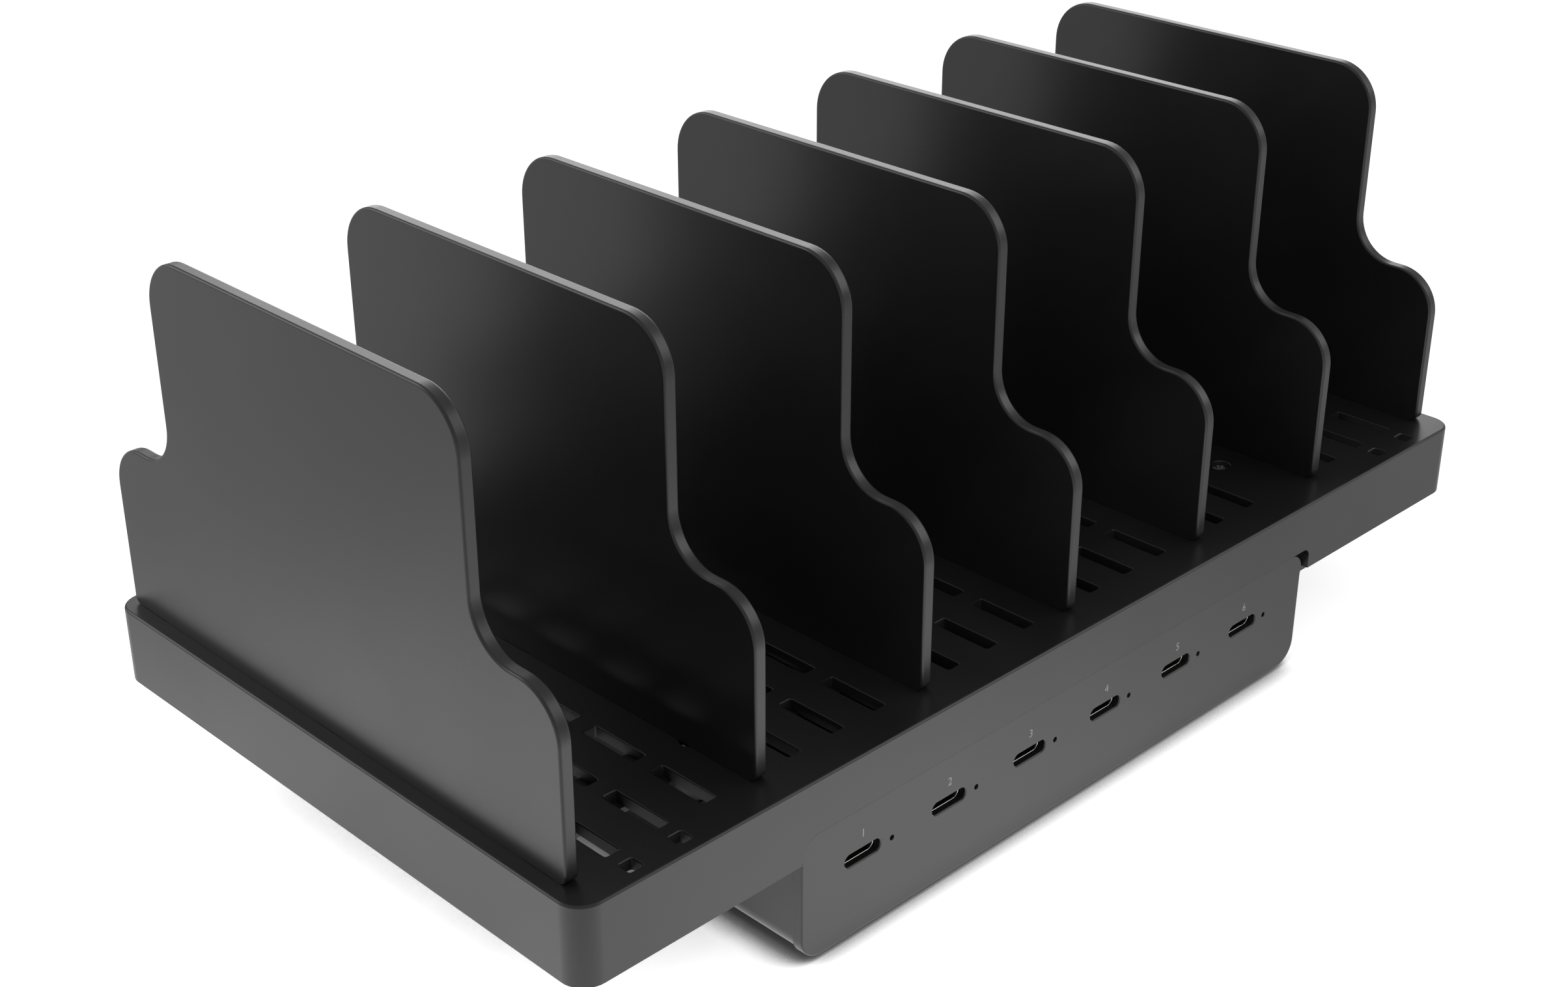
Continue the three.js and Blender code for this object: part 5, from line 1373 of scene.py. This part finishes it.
class STATION_OT_rear(bpy.types.Operator):
    """Makes the mains inlet and the power switch in the rear panel"""

    bl_idname = "station.rear"
    bl_label = "Make rear parts"

    def execute(self, context):
        settings = context.scene.station
        sizes, finish = settings.rear, settings.finish
        black = moulded_plastic("rear_finish", finish.black, finish.rear_gloss, HOUSING_GRAIN)
        rocker = moulded_plastic("rocker_finish", finish.black, finish.rocker_gloss, ROCKER_GRAIN)
        steel = drawn_metal("pin_finish", finish.steel, finish.pin_gloss, (2500.0, 300.0, 2500.0))
        self.inlet(settings, black)
        for side in ("left", "right"):
            self.pin(sizes, side, steel)
        self.switch(settings, black)
        self.rocker(settings, rocker)
        return {"FINISHED"}

    def flanged(self, settings, name, mouth, mouth_edge):
        """A block with a flange at its outer end and a blind mouth."""
        sizes, flange, soft = settings.rear, settings.unit.flange, settings.rear.seat_edge
        low, high = node_box(name)
        back, face = low[1], high[1]
        seat = face - sizes.flange_depth
        arcs = [
            (-flange - soft, back + soft, soft, -90, 0),
            (-flange + soft, seat - soft, soft, 180, 90),
            (-soft, seat + soft, soft, -90, 0),
            (-sizes.edge, face - sizes.edge, sizes.edge, 0, 90),
        ]
        outline = rectangle(low[2], high[2], low[0], high[0], sizes.corner, sizes.corner, 8)
        shell = Shell()
        shell.block(outline, arc_chain(arcs, 5), mouth, mouth_edge)
        return shell

    def inlet(self, settings, material):
        """The inlet: a flanged block whose mouth has two round lobes."""
        sizes = settings.rear
        face = node_box("inlet_body")[1][1]
        z = middle("inlet_body")[2]
        left, right = (middle(f"inlet_pin_{side}")[0] for side in ("left", "right"))
        radius, reach = sizes.lobe_radius, sizes.lobe_reach
        lobes = [(z, right, radius, 90 - reach, 90 + reach), (z, left, radius, 270 - reach, 270 + reach)]
        mouth = closed_chain(lobes, 24)
        edge = blind_edge(face - sizes.cavity_depth, face, HIDDEN_FILLET, sizes.edge, 5)
        shell = self.flanged(settings, "inlet_body", mouth, edge)
        shell.stand_in("inlet_body", "inlet_block", FROM_BACK, material, "black_plastic")

    def pin(self, sizes, side, material):
        """A pin: a round rod with a rounded tip."""
        name = f"inlet_pin_{side}"
        low, high = node_box(name)
        outline = circle((low[2] + high[2]) / 2, (low[0] + high[0]) / 2, (high[2] - low[2]) / 2, 28)
        shell = Shell()
        shell.plate(outline, [], plate_edge(low[1], high[1], FINE_ROUND, sizes.pin_tip, 6))
        shell.stand_in(name, f"pin_{side}", FROM_BACK, material, "bright_metal")

    def switch(self, settings, material):
        """The switch frame: a flanged block with a straight well."""
        sizes = settings.rear
        low, high = node_box("switch_frame")
        inset, corner = settings.unit.flange + sizes.well_wall, sizes.well_corner
        mouth = rectangle(low[2] + inset, high[2] - inset, low[0] + inset, high[0] - inset, corner, corner, 4)
        well = high[1] - sizes.flange_depth - sizes.well_depth
        edge = blind_edge(well, high[1], HIDDEN_FILLET, sizes.edge, 5)
        shell = self.flanged(settings, "switch_frame", mouth, edge)
        shell.stand_in("switch_frame", "switch_bezel", FROM_BACK, material, "black_plastic")

    def rocker(self, settings, material):
        """The rocker: a section with a hollow face and a keel, turned about its pivot, with round ends."""
        sizes = settings.rear
        low, high = node_box("switch_frame")
        pivot = np.array(frame["record"]["behaviour"]["joints"][-1]["pos_m"])
        end, rise, keel = sizes.rocker_end, sizes.rocker_rise, sizes.rocker_keel
        waist = end - keel / 4
        half = [(keel, -keel), (waist - keel / 2, 0.0), (waist, rise / 2), (end, rise)]
        mirrored = [(-x, y) for x, y in reversed(half)]
        corners = np.array([*half, (0.0, rise - 2 * sizes.rocker_dish), *mirrored])
        keel_round, root_round, waist_round, lip_round, dish_round = 0.4, 0.5, 3.0, 0.35, 17.0
        half_radii = [keel_round, root_round, waist_round, lip_round]
        radii = np.array([*half_radii, dish_round, *reversed(half_radii)]) * MM
        cosine, sine = math.cos(sizes.rocker_tilt), math.sin(sizes.rocker_tilt)
        turned = corners @ np.array([[cosine, sine], [-sine, cosine]])
        inset = settings.unit.flange + sizes.well_wall + sizes.rocker_play
        edge = plate_edge(low[2] + inset, high[2] - inset, sizes.rocker_edge, sizes.rocker_edge, 5)
        shell = Shell()
        shell.plate(rounded(turned + pivot[:2], radii, 10), [], edge)
        shell.stand_in("power_rocker", "rocker_cap", FROM_ABOVE, material, "black_plastic", "rocker")


class STATION_OT_screws(bpy.types.Operator):
    """Makes the domed screws of the deck and of the lower case"""

    bl_idname = "station.screws"
    bl_label = "Make screws"

    def execute(self, context):
        settings = context.scene.station
        sizes, finish = settings.screw, settings.finish
        material = drawn_metal("screw_finish", finish.steel, finish.screw_gloss, (1800.0, 1800.0, 1800.0))
        for which in FOUR_CORNERS:
            self.screw(sizes, f"deck_screw_{which}", sizes.deck_head, FROM_ABOVE, material)
            self.screw(sizes, f"case_screw_{which}", sizes.case_head, FROM_BELOW, material)
        return {"FINISHED"}

    def cross(self, place, half, reach):
        """Outline of a cross recess: three corners, turned by four right angles about its middle."""
        turn = np.radians([0.0, 90.0, 180.0, 270.0])
        ahead = np.stack([np.cos(turn), np.sin(turn)], axis=1)
        aside = np.stack([-np.sin(turn), np.cos(turn)], axis=1)
        corners = [ahead * half - aside * half, ahead * reach - aside * half, ahead * reach + aside * half]
        corner_radius = half / 3
        return rounded(place + np.stack(corners, axis=1).reshape(-1, 2), corner_radius, 3)

    def screw(self, sizes, name, head, axes, material):
        """A screw: a shank, a round head with a dome, and a cross recess in a small flat on top of the dome.

        The dome is part of a sphere, whose radius follows from the rim's radius and the dome's rise.
        """
        ends = np.sort(np.array(node_box(name)) @ axes.T, axis=0)
        place = (ends[0, :2] + ends[1, :2]) / 2
        tip, top = ends[:, 2]
        rim = (ends[1, 0] - ends[0, 0]) / 2
        soft, tip_soft, seat = HIDDEN_ROUND, 3 * HIDDEN_ROUND, top - head
        sphere = (rim ** 2 + sizes.dome ** 2) / (2 * sizes.dome)
        reach = rim * sizes.cross_reach
        flat = reach * sizes.cross_flat
        flat_top = top - sphere + math.sqrt(sphere ** 2 - flat ** 2)
        rim_angle, flat_angle = math.degrees(math.acos(rim / sphere)), math.degrees(math.acos(flat / sphere))
        arcs = [
            (sizes.shank - rim - tip_soft, tip + tip_soft, tip_soft, -90, 0),
            (sizes.shank - rim + soft, seat - soft, soft, 180, 90),
            (-soft, seat + soft, soft, -90, 0),
            (-rim, top - sphere, sphere, rim_angle, flat_angle),
        ]
        recess = self.cross(place, sizes.cross_width / 2, reach)
        recess_edge = blind_edge(flat_top - sizes.cross_depth, flat_top, FINE_ROUND, FINE_ROUND, 3)
        shell = Shell()
        shell.block(circle(*place, rim, 40), arc_chain(arcs, 8), recess, recess_edge)
        shell.stand_in(name, f"domed_{name}", axes, material, "bright_metal")


class STATION_OT_carried(bpy.types.Operator):
    """Gives the nodes that keep their CAD shape their finishes"""

    bl_idname = "station.carried"
    bl_label = "Finish CAD nodes"

    def execute(self, context):
        finish = context.scene.station.finish
        black = moulded_plastic("black_finish", finish.black, finish.inner_gloss, HOUSING_GRAIN)
        steel = drawn_metal("steel_finish", finish.steel, finish.steel_gloss, (2500.0, 2500.0, 300.0))
        sink = drawn_metal("heat_sink_finish", finish.steel, finish.sink_gloss, (300.0, 6000.0, 6000.0))
        looks = {
            "black_plastic": black,
            "bright_metal": steel,
            "circuit_board": circuit_board("board_finish", finish.board, finish.copper),
            "ferrite": sintered("ferrite_finish", finish.ferrite),
            "winding_tape": wound_tape("tape_finish", finish.tape),
            "heat_sink_metal": sink,
        }
        for entry in frame["record"]["subparts"]:
            if entry["material_slot"] in looks:
                mesh = frame["nodes"][entry["node"]].data
                mesh.materials.clear()
                mesh.materials.append(looks[entry["material_slot"]])
        return {"FINISHED"}


class STATION_OT_stage(bpy.types.Operator):
    """Makes the white floor, the lamps, the even light and the camera"""

    bl_idname = "station.stage"
    bl_label = "Set the stage"

    def execute(self, context):
        stage = context.scene.station.stage
        self.floor(stage)
        self.sky(context.scene, stage)
        self.lamp(context.scene, "left_lamp", stage.left_place, stage.lamp_width, stage.left_power)
        self.lamp(context.scene, "right_lamp", stage.right_place, stage.lamp_width, stage.right_power)
        self.lamp(context.scene, "back_lamp", stage.back_place, stage.back_width, stage.back_power)
        lens = bpy.data.cameras.new("photo_camera")
        lens.sensor_width = 36.0
        lens.lens = stage.lens
        lens.clip_start = 0.01
        camera = bpy.data.objects.new("photo_camera", lens)
        camera.location = stage.eye
        camera.rotation_euler = stage.turn
        context.scene.collection.objects.link(camera)
        context.scene.camera = camera
        context.scene.view_settings.view_transform = "Standard"
        return {"FINISHED"}

    def floor(self, stage):
        """A level square of white card."""
        half = 4.0
        mesh = bpy.data.meshes.new("floor")
        corners = np.array([[-1, -1], [1, -1], [1, 1], [-1, 1]]) * half
        mesh.from_pydata(np.column_stack([corners, np.zeros(4)]), [], [[0, 1, 2, 3]])
        finished("floor", mesh, white_floor("floor_finish", stage))

    def sky(self, scene, stage):
        """Even light from all round, which counts less where it is mirrored."""
        scene.world = bpy.data.worlds.new("sky")
        look = Look(scene.world)
        mirrored = look.node("ShaderNodeLightPath", output="Is Glossy Ray")
        tone = look.blend(mirrored, (stage.sky,) * 3, (stage.mirrored_sky,) * 3)
        light = look.node("ShaderNodeBackground", {}, {"Color": tone, "Strength": 1.0})
        look.node("ShaderNodeOutputWorld", {}, {"Surface": light})

    def lamp(self, scene, name, place, width, power):
        """A square soft lamp that faces the origin."""
        light = bpy.data.lights.new(name, "AREA")
        light.size = width
        light.energy = power
        lamp = bpy.data.objects.new(name, light)
        lamp.location = place
        lamp.rotation_euler = (-Vector(place)).to_track_quat("-Z", "Y").to_euler()
        scene.collection.objects.link(lamp)


class STATION_PT_panel(bpy.types.Panel):
    """Buttons and settings of the charging station"""

    bl_idname = "STATION_PT_panel"
    bl_label = "Charging station"
    bl_space_type = "VIEW_3D"
    bl_region_type = "UI"
    bl_category = "Station"

    def draw(self, context):
        settings = context.scene.station
        for operator in OPERATORS:
            self.layout.operator(operator.bl_idname)
        sizes = (settings.divider, settings.deck, settings.unit, settings.rear, settings.screw)
        for group in (*sizes, settings.finish, settings.stage):
            box = self.layout.box()
            for key in group.__annotations__:
                box.prop(group, key)


OPERATORS = (
    STATION_OT_dividers,
    STATION_OT_deck,
    STATION_OT_unit,
    STATION_OT_sockets,
    STATION_OT_numerals,
    STATION_OT_feet,
    STATION_OT_rear,
    STATION_OT_screws,
    STATION_OT_carried,
    STATION_OT_stage,
)
CLASSES = (
    DividerSizes,
    DeckSizes,
    UnitSizes,
    RearSizes,
    ScrewSizes,
    Finishes,
    StageSettings,
    StationSettings,
    *OPERATORS,
    STATION_PT_panel,
)


def register():
    """Registers the classes and the scene's settings."""
    for registered in CLASSES:
        bpy.utils.register_class(registered)
    settings = PointerProperty(type=StationSettings, name="Station", description="Station settings")
    bpy.types.Scene.station = settings


def unregister():
    """Removes what register added."""
    del bpy.types.Scene.station
    for registered in reversed(CLASSES):
        bpy.utils.unregister_class(registered)


def main():
    """Makes every piece and the stage."""
    register()
    bpy.ops.station.dividers()
    bpy.ops.station.deck()
    bpy.ops.station.unit()
    bpy.ops.station.sockets()
    bpy.ops.station.numerals()
    bpy.ops.station.feet()
    bpy.ops.station.rear()
    bpy.ops.station.screws()
    bpy.ops.station.carried()
    bpy.ops.station.stage()


if __name__ == "__main__":
    main()
